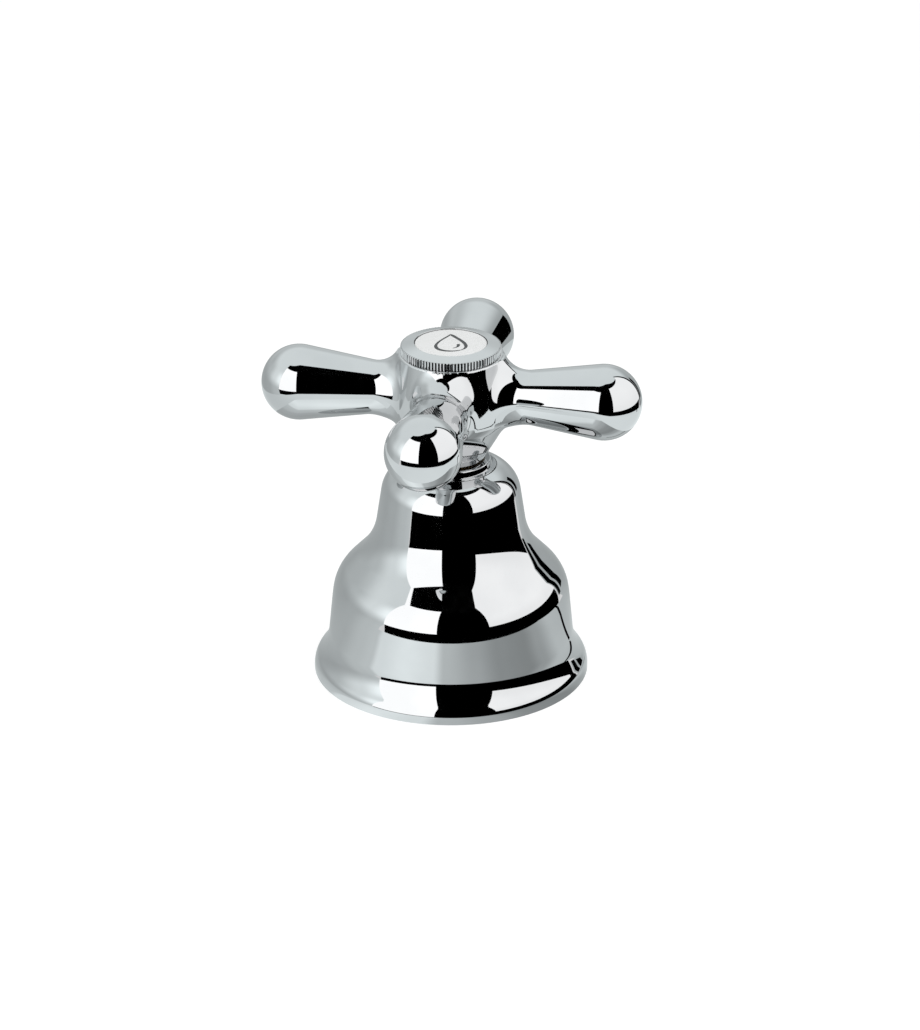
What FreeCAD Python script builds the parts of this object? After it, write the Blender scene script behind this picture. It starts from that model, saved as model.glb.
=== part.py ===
# Cross handle tap: a bell-shaped deck valve cover with a four-arm handle on top
# and a quarter-turn ceramic headwork inside.
#
# Millimetres.  +Z is up, the origin is the centre of the bell's foot, and the
# handle's arms lie along X and Y in the closed position.
#
# Two rigid groups share the Z axis:
#   fixed:    bell, rings, sleeve, headwork body, lower ceramic disc, seals
#   turning:  handle, index ring and disc, spindle and what is fixed to it

import FreeCAD, Part
import math
import os
import re

import Sketcher
from FreeCAD import Placement, Vector

# ---------------------------------------------------------------------------
# Driving dimensions.  Each is written once, and every sub-part reads it by name.
# ---------------------------------------------------------------------------

SIZES = {
    # bell, outside: corner points of the outline, with the rounding at each
    "bell_foot_radius": 29.0,
    "bell_foot_bulge_height": 2.1,
    "bell_foot_round": 4.0,
    "bell_flare_width": 2.89,
    "bell_flare_height": 3.7,
    "bell_flare_round": 10.0,
    "bell_skirt_taper": 1.12,
    "bell_girth_height": 17.2,
    "bell_girth_round": 30.0,
    "bell_girth_taper": 0.66,
    "bell_shoulder_height": 21.23,
    "bell_shoulder_round": 9.65,
    "bell_cove_height": 29.55,
    "bell_cove_round": 14.5,
    "bell_neck_taper": 2.33,
    "bell_dome_width": 4.42,
    "bell_dome_drop": 1.54,
    "bell_dome_round": 7.0,
    "bell_top_height": 46.5,
    # bell, inside
    "bell_wall": 1.8,
    "bell_rim_width": 4.57,
    "bell_crown_thickness": 2.6,
    "bell_seat_radius": 9.55,
    "bell_seat_depth": 0.6,
    "gasket_groove_inset": 1.3,
    "gasket_groove_width": 2.0,
    "gasket_groove_depth": 1.2,
    # collar ring that clamps the bell
    "collar_gap": 0.12,
    "collar_gasket_thickness": 0.3,
    "collar_flange_thickness": 0.4,
    "collar_wall_inset": 1.03,
    "collar_wall_thickness": 1.4,
    "collar_height": 1.8,
    "collar_chamfer": 0.25,
    # extension sleeve on the headwork
    "sleeve_mouth_recess": 0.3,
    "sleeve_hole_gap": 0.15,
    "sleeve_barrel_inset": 0.55,
    "sleeve_barrel_length": 2.0,
    "sleeve_socket_wall": 1.6,
    "sleeve_socket_cover": 1.2,
    "sleeve_chamber_radius": 7.8,
    "sleeve_chamber_taper": 2.1,
    "sleeve_throat_length": 0.6,
    "sleeve_bore_gap": 0.8,
    # guide bush in the sleeve's mouth
    "bush_wall": 1.4,
    "bush_length": 4.2,
    # headwork body, from the shoulder that the valve seats against
    "shoulder_radius": 12.4,
    "shoulder_thickness": 1.6,
    "hexagon_across_flats": 21.0,
    "hexagon_height": 5.4,
    "hexagon_chamfer": 0.8,
    "upper_thread_radius": 10.0,
    "upper_thread_length": 6.5,
    "gland_radius": 6.6,
    "gland_height": 2.5,
    "lower_thread_radius": 10.478,
    "lower_thread_length": 8.5,
    "thread_relief_depth": 0.58,
    "cage_radius": 8.9,
    "cage_wall": 1.0,
    "cage_length": 9.0,
    "port_width": 8.0,
    "port_height": 3.0,
    "port_rise": 4.9,
    "body_gasket_width": 1.7,
    "body_gasket_thickness": 1.2,
    # spindle
    "spindle_radius": 4.0,
    "running_gap": 0.05,
    "spindle_flange_gap": 0.3,
    "spindle_flange_thickness": 3.0,
    "turn_range": 90,
    "stop_lug_width": 2.0,
    "stop_lug_depth": 1.0,
    "stop_lug_angle": 45,
    "stop_gap_angle": 0.4,
    "stop_lug_gap": 0.1,
    "tongue_width": 3.0,
    "tongue_length": 11.0,
    "tongue_depth": 1.5,
    "seal_ring_section": 0.55,
    "seal_ring_low": 3.2,
    "seal_ring_pitch": 3.6,
    "clip_groove_depth": 0.7,
    "clip_thickness": 0.7,
    "clip_width": 2.2,
    "clip_opening": 4.0,
    "clip_rise": 0.1,
    "spline_length": 9.0,
    "spline_teeth": 20,
    "spline_depth": 0.35,
    "spline_root_gap": 0.12,
    "spindle_reach": 13.0,
    "thrust_washer_thickness": 0.8,
    "thrust_washer_width": 2.6,
    # ceramic discs and the seal below them
    "disc_gap": 0.15,
    "disc_lap": 0.02,
    "fixed_disc_thickness": 3.2,
    "moving_disc_thickness": 3.2,
    "disc_chamfer": 0.3,
    "water_way_inner": 1.6,
    "water_way_outer": 5.6,
    "water_way_root": 1.6,
    "water_way_mouth": 6.4,
    "water_way_round": 0.7,
    "water_way_count": 2,
    "disc_recess_depth": 1.2,
    "tongue_gap": 0.1,
    "lip_seal_height": 2.9,
    "lip_seal_stand": 0.9,
    "lip_seal_wall": 1.5,
    "lip_seal_taper": 0.6,
    "seal_support_wall": 0.8,
    "seal_support_inset": 0.4,
    # cross handle
    "handle_gap": 0.2,
    "hub_neck_radius": 6.9,
    "hub_cone_height": 9.5,
    "hub_cone_widening": 5.5,
    "hub_belly_round": 4.0,
    "hub_taper": 1.5,
    "arm_rise": 14.5,
    "arm_cover": 8.8,
    "hub_edge_round": 0.3,
    "arm_reach": 32.05,
    "arm_ball_radius": 7.93,
    "arm_waist_reach": 15.6,
    "arm_waist_radius": 5.55,
    "arm_blend_radius": 5.5,
    "arm_count": 4,
    # inside of the handle
    "insert_wall": 1.55,
    "insert_recess": 0.8,
    "web_clearance": 0.1,
    "web_thickness": 2.4,
    "well_radius": 8.0,
    "screw_hole_gap": 0.3,
    # screw and washer
    "screw_radius": 2.5,
    "screw_length": 12.0,
    "screw_head_radius": 4.4,
    "screw_head_height": 2.8,
    "screw_slot_width": 1.2,
    "screw_slot_depth": 1.4,
    "washer_radius": 4.9,
    "washer_thickness": 0.8,
    # index ring and disc
    "index_radius": 10.45,
    "index_edge_height": 1.62,
    "index_edge_chamfer": 0.15,
    "index_bevel_drop": 0.7,
    "index_disc_radius": 7.5,
    "index_disc_gap": 0.1,
    "index_disc_thickness": 1.5,
    "index_disc_step": 0.08,
    "index_disc_crown": 0.12,
    "index_disc_round": 0.2,
    "index_floor_thickness": 1.0,
    "index_spigot_gap": 0.05,
    "index_spigot_wall": 1.2,
    "index_spigot_length": 3.2,
    "serration_count": 96,
    "serration_depth": 0.26,
    # shared by small details
    "edge_break": 0.25,
    "cut_margin": 1.0,
}

doc = FreeCAD.newDocument("CrossHandleTap")
sheet = doc.addObject("Spreadsheet::Sheet", "Sizes")
for row, (alias, value) in enumerate(SIZES.items(), start=1):
    sheet.set("A%d" % row, alias)
    sheet.set("B%d" % row, str(value))
    sheet.setAlias("B%d" % row, alias)
doc.recompute()

# Heights that several sub-parts share, written as sums of the driving sizes.
HEIGHTS = {
    "flare_radius": "bell_foot_radius - bell_flare_width",
    "flare_height": "bell_foot_bulge_height + bell_flare_height",
    "girth_radius": "flare_radius - bell_skirt_taper",
    "shoulder_corner_radius": "girth_radius - bell_girth_taper",
    "rim_inner_radius": "bell_foot_radius - bell_rim_width",
    "dome_radius": "bell_seat_radius + bell_dome_width",
    "cove_radius": "dome_radius + bell_neck_taper",
    "dome_height": "bell_top_height - bell_dome_drop",
    "seat_height": "bell_top_height - bell_seat_depth",
    "crown_underside": "seat_height - bell_crown_thickness",
    "collar_flange_radius": "bell_seat_radius - collar_gap",
    "collar_wall_radius": "collar_flange_radius - collar_wall_inset",
    "sleeve_mouth_radius": "collar_wall_radius - collar_wall_thickness",
    "sleeve_barrel_radius": "bell_seat_radius - sleeve_barrel_inset",
    "sleeve_socket_radius": "upper_thread_radius + sleeve_socket_wall",
    "flange_base": "seat_height + collar_gasket_thickness",
    "collar_top": "flange_base + collar_height",
    "sleeve_top": "collar_top - sleeve_mouth_recess",
    "barrel_foot": "crown_underside - sleeve_barrel_length",
    "socket_top": "barrel_foot - (sleeve_socket_radius - sleeve_barrel_radius)",
    "upper_thread_top": "socket_top - sleeve_socket_cover",
    "hexagon_top": "upper_thread_top - upper_thread_length",
    "hexagon_base": "hexagon_top - hexagon_height",
    "shoulder_height": "hexagon_base - shoulder_thickness",
    "gland_top": "upper_thread_top + gland_height",
    "cage_top": "shoulder_height - lower_thread_length",
    "cage_base": "cage_top - cage_length",
    "seal_base": "cage_base - lip_seal_stand",
    "seal_top": "seal_base + lip_seal_height",
    "moving_disc_base": "seal_top + fixed_disc_thickness + disc_lap",
    "spindle_base": "moving_disc_base + moving_disc_thickness",
    "flange_top": "spindle_base + spindle_flange_thickness",
    "cage_ceiling": "flange_top + thrust_washer_thickness",
    "cage_bore": "cage_radius - cage_wall",
    "stop_radius": "cage_bore - stop_lug_depth",
    "thread_relief_radius": "lower_thread_radius - thread_relief_depth",
    "thread_top": "shoulder_height - body_gasket_thickness",
    "disc_radius": "cage_bore - disc_gap",
    "spindle_bore": "spindle_radius + running_gap",
    "clip_base": "gland_top + clip_rise",
    "hub_base": "collar_top + handle_gap",
    "arm_height": "hub_base + arm_rise",
    "hub_top_height": "arm_height + arm_cover",
    "spindle_top_height": "collar_top + spindle_reach",
    "insert_radius": "spindle_bore + insert_wall",
    "web_underside": "spindle_top_height + web_clearance",
    "web_top": "web_underside + web_thickness",
    "washer_top": "web_top + washer_thickness",
    "edge_top": "hub_top_height + index_edge_height",
    "index_top": "edge_top + index_bevel_drop",
    "disc_recess_radius": "index_disc_radius + index_disc_gap",
    "disc_seat": "index_top - index_disc_step - index_disc_thickness",
    "spigot_radius": "well_radius - index_spigot_gap",
}


def bound(formula):
    """Write a formula of size names as an expression on the sheet's cells."""
    def cell(match):
        word = match.group(0)
        if word in HEIGHTS:
            return "(" + bound(HEIGHTS[word]) + ")"
        return "Sizes." + word if word in SIZES else word
    return re.sub(r"[a-z_]+", cell, str(formula))


def size(formula):
    """Value of a formula of size names, in millimetres or as a plain number."""
    result = sheet.evalExpression(bound(formula))
    return float(getattr(result, "Value", result))


# ---------------------------------------------------------------------------
# Sketches and features
# ---------------------------------------------------------------------------

def new_body(label):
    """An empty body whose label names the sub-part."""
    body = doc.addObject("PartDesign::Body", label)
    body.Label = label
    body.Placement = Placement()
    return body


def origin_plane(body, role):
    """The body's own XY, XZ or YZ plane."""
    for feature in body.Origin.OriginFeatures:
        if feature.Role == role:
            return feature
    raise ValueError("no plane " + role)


def new_sketch(body, name, role="XZ_Plane", lift="0"):
    """A sketch on an origin plane; lift moves it along its own upright direction."""
    sketch = body.newObject("Sketcher::SketchObject", name)
    sketch.AttachmentSupport = [(origin_plane(body, role), "")]
    sketch.MapMode = "FlatFace"
    if lift != "0":
        axis = "z" if role == "XY_Plane" else "y"
        sketch.setExpression("AttachmentOffset.Base." + axis, bound(lift))
    return sketch


def pin_point(sketch, geometry, point, across, up):
    """Fix a sketch point at a place given by two formulas."""
    for kind, axis, formula in (("DistanceX", -2, across), ("DistanceY", -1, up)):
        if str(formula) == "0":
            sketch.addConstraint(Sketcher.Constraint("PointOnObject", geometry, point, axis))
            continue
        index = sketch.addConstraint(
            Sketcher.Constraint(kind, -1, 1, geometry, point, size(formula)))
        sketch.setExpression("Constraints[%d]" % index, bound(formula))


def corner_trim(before, corner, after, radius):
    """Tangent points and centre of the arc that rounds one corner."""
    towards = (before - corner).normalize()
    onwards = (after - corner).normalize()
    half = towards.getAngle(onwards) / 2
    trim = radius / math.tan(half)
    centre = corner + (towards + onwards).normalize() * (radius / math.sin(half))
    return corner + towards * trim, corner + onwards * trim, centre


def draw_arc(sketch, centre, first, last):
    """Draw the short arc between two points; also say which end of it is the first."""
    one, other = first - centre, last - centre
    turns_left = one.x * other.y - one.y * other.x > 0
    if not turns_left:
        one, other = other, one
    circle = Part.Circle(centre, Vector(0, 0, 1), one.Length)
    start, end = math.atan2(one.y, one.x), math.atan2(other.y, other.x)
    arc = sketch.addGeometry(Part.ArcOfCircle(circle, start, end))
    return arc, 1 if turns_left else 2


def draw_outline(sketch, corners):
    """Draw a closed outline of straight runs, its corners fixed by formulas.

    Each corner is (across, up) or (across, up, round), and a round is an arc
    tangent to both runs, so the corner stays where the formulas put it.
    """
    places = [Vector(size(corner[0]), size(corner[1]), 0) for corner in corners]
    count = len(corners)
    starts, ends, arcs = [], [], {}
    for i, corner in enumerate(corners):
        if len(corner) == 3:
            trimmed = corner_trim(places[i - 1], places[i], places[(i + 1) % count],
                                  size(corner[2]))
            ends.append(trimmed[0])
            starts.append(trimmed[1])
            arcs[i] = trimmed
        else:
            ends.append(places[i])
            starts.append(places[i])
    lines = [sketch.addGeometry(Part.LineSegment(starts[i], ends[(i + 1) % count]))
             for i in range(count)]
    for i, corner in enumerate(corners):
        arriving, leaving = lines[i - 1], lines[i]
        if i not in arcs:
            sketch.addConstraint(Sketcher.Constraint("Coincident", arriving, 2, leaving, 1))
            pin_point(sketch, leaving, 1, corner[0], corner[1])
            continue
        first, last, centre = arcs[i]
        arc, opens = draw_arc(sketch, centre, first, last)
        sketch.addConstraint(Sketcher.Constraint("Tangent", arriving, 2, arc, opens))
        sketch.addConstraint(Sketcher.Constraint("Tangent", arc, 3 - opens, leaving, 1))
        index = sketch.addConstraint(Sketcher.Constraint("Radius", arc, size(corner[2])))
        sketch.setExpression("Constraints[%d]" % index, bound(corner[2]))
        apex = sketch.addGeometry(Part.Point(places[i]), True)
        pin_point(sketch, apex, 1, corner[0], corner[1])
        sketch.addConstraint(Sketcher.Constraint("PointOnObject", apex, 1, arriving))
        sketch.addConstraint(Sketcher.Constraint("PointOnObject", apex, 1, leaving))
    return sketch


def turn(body, name, corners, kind="Revolution", sweep=None):
    """Revolve an outline about the body's axis, or cut it away with Groove.

    A sweep formula makes it part of a turn, centred on the +X side.
    """
    sketch = draw_outline(new_sketch(body, name + "Outline"), corners)
    feature = body.newObject("PartDesign::" + kind, name)
    feature.Profile = sketch
    feature.ReferenceAxis = (sketch, ["V_Axis"])
    feature.Angle = 360
    if sweep:
        feature.Midplane = True
        feature.setExpression("Angle", bound(sweep))
    doc.recompute()
    return feature


def bore(body, name, radius, low, high):
    """Cut a round hole on the axis between two heights."""
    corners = [("0", low), (radius, low), (radius, high), ("0", high)]
    return cut_checked(body, name, lambda: turn(body, name, corners, "Groove"))


def cut_checked(body, name, make):
    """Run a cutting step and stop if it took nothing away."""
    before = body.Shape.Volume
    feature = make()
    if body.Shape.Volume > before - 1e-6:
        raise RuntimeError(name + " cuts nothing")
    return feature


def pad(body, name, sketch, length):
    """Raise a sketch upwards by a length formula."""
    feature = body.newObject("PartDesign::Pad", name)
    feature.Profile = sketch
    feature.setExpression("Length", bound(length))
    doc.recompute()
    return feature


def pocket(body, name, sketch, length, both_ways=False, upwards=True):
    """Cut a sketch into the body, upwards from its plane unless told otherwise."""
    feature = body.newObject("PartDesign::Pocket", name)
    feature.Profile = sketch
    feature.setExpression("Length", bound(length))
    feature.Midplane = both_ways
    feature.Reversed = upwards
    doc.recompute()
    return feature


def ring_of(body, name, feature, count):
    """Repeat a feature evenly round the body's Z axis."""
    pattern = body.newObject("PartDesign::PolarPattern", name)
    pattern.Originals = [feature]
    pattern.Axis = (origin_axis(body), [""])
    pattern.Angle = 360
    pattern.setExpression("Occurrences", bound(count))
    body.Tip = pattern
    doc.recompute()
    return pattern


def origin_axis(body):
    """The body's own Z axis."""
    for feature in body.Origin.OriginFeatures:
        if feature.Role == "Z_Axis":
            return feature
    raise ValueError("no Z axis")


def round_edges(body, name, base, edges, radius):
    """Fillet named edges of a feature by a radius formula."""
    feature = body.newObject("PartDesign::Fillet", name)
    feature.Base = (base, edges)
    feature.setExpression("Radius", bound(radius))
    doc.recompute()
    return feature


def edges_where(feature, test):
    """Names of the feature's edges whose middle point and curve pass a test."""
    names = []
    for number, edge in enumerate(feature.Shape.Edges, start=1):
        if edge.Length < 1e-6:
            continue
        middle = edge.valueAt((edge.FirstParameter + edge.LastParameter) / 2)
        if test(edge, middle):
            names.append("Edge%d" % number)
    return names


# ---------------------------------------------------------------------------
# Fixed sub-parts
# ---------------------------------------------------------------------------

def make_bell():
    """Bell cover: flared foot, skirt, shoulder, cove, neck and domed top, turned out inside."""
    body = new_body("bell")
    turn(body, "BellOutside", [
        ("0", "0"),
        ("bell_foot_radius", "0"),
        ("bell_foot_radius", "bell_foot_bulge_height", "bell_foot_round"),
        ("flare_radius", "flare_height", "bell_flare_round"),
        ("girth_radius", "bell_girth_height", "bell_girth_round"),
        ("shoulder_corner_radius", "bell_shoulder_height", "bell_shoulder_round"),
        ("cove_radius", "bell_cove_height", "bell_cove_round"),
        ("dome_radius", "dome_height", "bell_dome_round"),
        ("bell_seat_radius", "bell_top_height"),
        ("bell_seat_radius", "seat_height"),
        ("0", "seat_height"),
    ])
    cut_checked(body, "BellInside", lambda: turn(body, "BellInside", [
        ("0", "0"),
        ("rim_inner_radius", "0"),
        ("shoulder_corner_radius - bell_wall", "bell_shoulder_height - bell_wall / 2"),
        ("cove_radius - bell_wall", "bell_cove_height - bell_wall / 2"),
        ("dome_radius - bell_wall", "crown_underside"),
        ("0", "crown_underside"),
    ], "Groove"))
    bore(body, "BellHole", "sleeve_mouth_radius + sleeve_hole_gap",
         "crown_underside", "seat_height")
    inner = "rim_inner_radius + gasket_groove_inset"
    outer = inner + " + gasket_groove_width"
    cut_checked(body, "GasketGroove", lambda: turn(body, "GasketGroove", [
        (inner, "0"), (outer, "0"),
        (outer, "gasket_groove_depth"), (inner, "gasket_groove_depth"),
    ], "Groove"))
    return body


def make_base_gasket():
    """Soft ring that fills the groove in the bell's foot."""
    body = new_body("base_gasket")
    inner = "rim_inner_radius + gasket_groove_inset"
    outer = inner + " + gasket_groove_width"
    turn(body, "GasketRing", [
        (inner, "0"), (outer, "0"),
        (outer, "gasket_groove_depth"), (inner, "gasket_groove_depth"),
    ])
    return body


def make_collar_gasket():
    """Soft washer between the collar ring and the bell's seat."""
    body = new_body("collar_gasket")
    inner = "sleeve_mouth_radius + sleeve_hole_gap"
    outer = "bell_seat_radius - collar_gap * 2"
    turn(body, "Washer", [
        (inner, "seat_height"), (outer, "seat_height"),
        (outer, "flange_base"), (inner, "flange_base"),
    ])
    return body


def make_collar_ring():
    """Low ring nut: thin flange in the bell's seat and a plain wall with eased edges."""
    body = new_body("collar_ring")
    flange, wall = "collar_flange_radius", "collar_wall_radius"
    flange_top = "flange_base + collar_flange_thickness"
    turn(body, "Ring", [
        ("sleeve_mouth_radius", "flange_base"),
        (flange, "flange_base"),
        (flange, flange_top),
        (wall, flange_top),
        (wall, "collar_top - collar_chamfer"),
        (wall + " - collar_chamfer", "collar_top"),
        ("sleeve_mouth_radius + collar_chamfer", "collar_top"),
        ("sleeve_mouth_radius", "collar_top - collar_chamfer"),
    ])
    return body


def make_extension_sleeve():
    """Sleeve screwed on the headwork; its barrel carries the bell, its mouth the collar."""
    body = new_body("extension_sleeve")
    chamber_top = "sleeve_top - bush_length - sleeve_throat_length"
    stem = "spindle_radius + sleeve_bore_gap"
    bush = "spindle_bore + bush_wall"
    turn(body, "Sleeve", [
        ("upper_thread_radius", "hexagon_top"),
        ("sleeve_socket_radius", "hexagon_top"),
        ("sleeve_socket_radius", "socket_top"),
        ("sleeve_barrel_radius", "barrel_foot"),
        ("sleeve_barrel_radius", "crown_underside"),
        ("sleeve_mouth_radius", "crown_underside"),
        ("sleeve_mouth_radius", "sleeve_top"),
        (bush, "sleeve_top"),
        (bush, "sleeve_top - bush_length"),
        (stem, "sleeve_top - bush_length"),
        (stem, chamber_top),
        ("sleeve_chamber_radius", chamber_top + " - sleeve_chamber_taper"),
        ("sleeve_chamber_radius", "upper_thread_top"),
        ("upper_thread_radius", "upper_thread_top"),
    ])
    return body


def make_guide_bush():
    """Slip bush that centres the spindle in the sleeve's mouth."""
    body = new_body("guide_bush")
    outer = "spindle_bore + bush_wall"
    turn(body, "Bush", [
        ("spindle_bore", "sleeve_top - bush_length"),
        (outer, "sleeve_top - bush_length"),
        (outer, "sleeve_top"),
        ("spindle_bore", "sleeve_top"),
    ])
    return body


def turned(along, across):
    """A point given along and across the stop lug's own direction, as X and Y formulas."""
    cosine, sine = "cos(stop_lug_angle * 1deg)", "sin(stop_lug_angle * 1deg)"
    return ("(%s) * %s - (%s) * %s" % (along, cosine, across, sine),
            "(%s) * %s + (%s) * %s" % (along, sine, across, cosine))


def make_cartridge_body():
    """Headwork body: cage with side ports, thread, shoulder, hexagon and upper thread."""
    body = new_body("cartridge_body")
    turn(body, "Stem", [
        ("0", "cage_base"),
        ("cage_radius", "cage_base"),
        ("cage_radius", "cage_top"),
        ("lower_thread_radius", "cage_top"),
        ("lower_thread_radius", "thread_top"),
        ("thread_relief_radius", "thread_top"),
        ("thread_relief_radius", "shoulder_height"),
        ("shoulder_radius", "shoulder_height"),
        ("shoulder_radius", "hexagon_base"),
        ("upper_thread_radius", "hexagon_base"),
        ("upper_thread_radius", "upper_thread_top"),
        ("gland_radius", "upper_thread_top"),
        ("gland_radius", "gland_top - edge_break"),
        ("gland_radius - edge_break", "gland_top"),
        ("0", "gland_top"),
    ])
    hexagon = new_sketch(body, "HexagonOutline", "XY_Plane", "hexagon_base")
    half = "hexagon_across_flats / 2"
    corner = "hexagon_across_flats / 2 / cos(30deg)"
    short = "hexagon_across_flats / 2 * tan(30deg)"
    draw_outline(hexagon, [
        (corner, "0"), (short, half), ("-" + short, half),
        ("-" + corner, "0"), ("-" + short, "-" + half), (short, "-" + half),
    ])
    pad(body, "Hexagon", hexagon, "hexagon_height")
    rim = corner + " + cut_margin"
    cut_checked(body, "HexagonCorners", lambda: turn(body, "HexagonCorners", [
        (half, "hexagon_top"),
        (rim, "hexagon_top"),
        (rim, "hexagon_top - (" + rim + " - " + half + ") * tan(30deg)"),
    ], "Groove"))
    bore(body, "CageBore", "cage_bore", "cage_base", "cage_ceiling")
    bore(body, "SpindleBore", "spindle_bore", "cage_ceiling", "gland_top")
    port_low = "seal_top + port_rise - port_height / 2"
    port = new_sketch(body, "PortOutline", "YZ_Plane")
    draw_outline(port, [
        ("-port_width / 2", port_low), ("port_width / 2", port_low),
        ("port_width / 2", port_low + " + port_height"),
        ("-port_width / 2", port_low + " + port_height"),
    ])
    cut_checked(body, "SidePorts",
                lambda: pocket(body, "SidePorts", port, "(cage_radius + cut_margin) * 2",
                               both_ways=True))
    lug = new_sketch(body, "StopLugOutline", "XY_Plane", "spindle_base")
    inner, outer = "stop_radius", "cage_bore + cage_wall / 2"
    draw_outline(lug, [
        turned(inner, "-stop_lug_width / 2"), turned(outer, "-stop_lug_width / 2"),
        turned(outer, "stop_lug_width / 2"), turned(inner, "stop_lug_width / 2"),
    ])
    pad(body, "StopLug", lug, "cage_ceiling - spindle_base + edge_break")
    return body


def make_body_gasket():
    """Flat seal under the headwork's shoulder, in the relief above the lower thread."""
    body = new_body("body_gasket")
    outer = "lower_thread_radius + body_gasket_width"
    turn(body, "Seal", [
        ("thread_relief_radius", "thread_top"),
        (outer, "thread_top"),
        (outer, "shoulder_height"),
        ("thread_relief_radius", "shoulder_height"),
    ])
    return body


def cut_water_ways(body, low, thickness):
    """Cut two opposite keystone openings through a ceramic disc."""
    opening = new_sketch(body, "WaterWayOutline", "XY_Plane", low)
    draw_outline(opening, [
        ("water_way_inner", "-water_way_root / 2"),
        ("water_way_outer", "-water_way_mouth / 2", "water_way_round"),
        ("water_way_outer", "water_way_mouth / 2", "water_way_round"),
        ("water_way_inner", "water_way_root / 2"),
    ])
    one = cut_checked(body, "WaterWay", lambda: pocket(body, "WaterWay", opening, thickness))
    ring_of(body, "WaterWays", one, "water_way_count")


def disc_blank(body, low, thickness):
    """Round ceramic blank with eased edges."""
    high = low + " + " + thickness
    turn(body, "Blank", [
        ("0", low),
        ("disc_radius - disc_chamfer", low),
        ("disc_radius", low + " + disc_chamfer"),
        ("disc_radius", high + " - disc_chamfer"),
        ("disc_radius - disc_chamfer", high),
        ("0", high),
    ])


def make_fixed_disc():
    """Lower ceramic disc, its openings across X."""
    body = new_body("fixed_disc")
    disc_blank(body, "seal_top", "fixed_disc_thickness")
    cut_water_ways(body, "seal_top", "fixed_disc_thickness")
    return body


def make_lip_seal():
    """Rubber seal under the discs, with a tapered lip that stands out of the cage."""
    body = new_body("lip_seal")
    outer = "cage_bore"
    inner = "cage_bore - lip_seal_wall"
    turn(body, "Seal", [
        (inner, "seal_base"),
        (outer + " - lip_seal_taper", "seal_base"),
        (outer, "cage_base"),
        (outer, "seal_top"),
        (inner, "seal_top"),
    ])
    return body


def make_seal_support():
    """Stiff ring that keeps the lip seal round."""
    body = new_body("seal_support")
    outer = "cage_bore - lip_seal_wall"
    inner = outer + " - seal_support_wall"
    turn(body, "Support", [
        (inner, "seal_base + seal_support_inset"),
        (outer, "seal_base + seal_support_inset"),
        (outer, "seal_top"),
        (inner, "seal_top"),
    ])
    return body


# ---------------------------------------------------------------------------
# Turning sub-parts
# ---------------------------------------------------------------------------

def make_moving_disc():
    """Upper ceramic disc: water ways along Y when closed, and a slot for the tongue."""
    body = new_body("moving_disc")
    low = "moving_disc_base"
    disc_blank(body, low, "moving_disc_thickness")
    opening = new_sketch(body, "RecessOutline", "XY_Plane", low)
    draw_outline(opening, [
        ("-water_way_root / 2", "water_way_inner"),
        ("water_way_root / 2", "water_way_inner"),
        ("water_way_mouth / 2", "disc_radius + cut_margin"),
        ("-water_way_mouth / 2", "disc_radius + cut_margin"),
    ])
    one = cut_checked(body, "WaterWay",
                      lambda: pocket(body, "WaterWay", opening, "disc_recess_depth"))
    ring_of(body, "WaterWays", one, "water_way_count")
    slot = new_sketch(body, "SlotOutline", "XY_Plane", low + " + moving_disc_thickness")
    half_long = "tongue_length / 2 + tongue_gap"
    half_wide = "tongue_width / 2 + tongue_gap"
    draw_outline(slot, [
        ("-(" + half_long + ")", "-(" + half_wide + ")"), (half_long, "-(" + half_wide + ")"),
        (half_long, half_wide), ("-(" + half_long + ")", half_wide),
    ])
    cut_checked(body, "TongueSlot", lambda: pocket(
        body, "TongueSlot", slot, "tongue_depth + tongue_gap", upwards=False))
    return body


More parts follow.
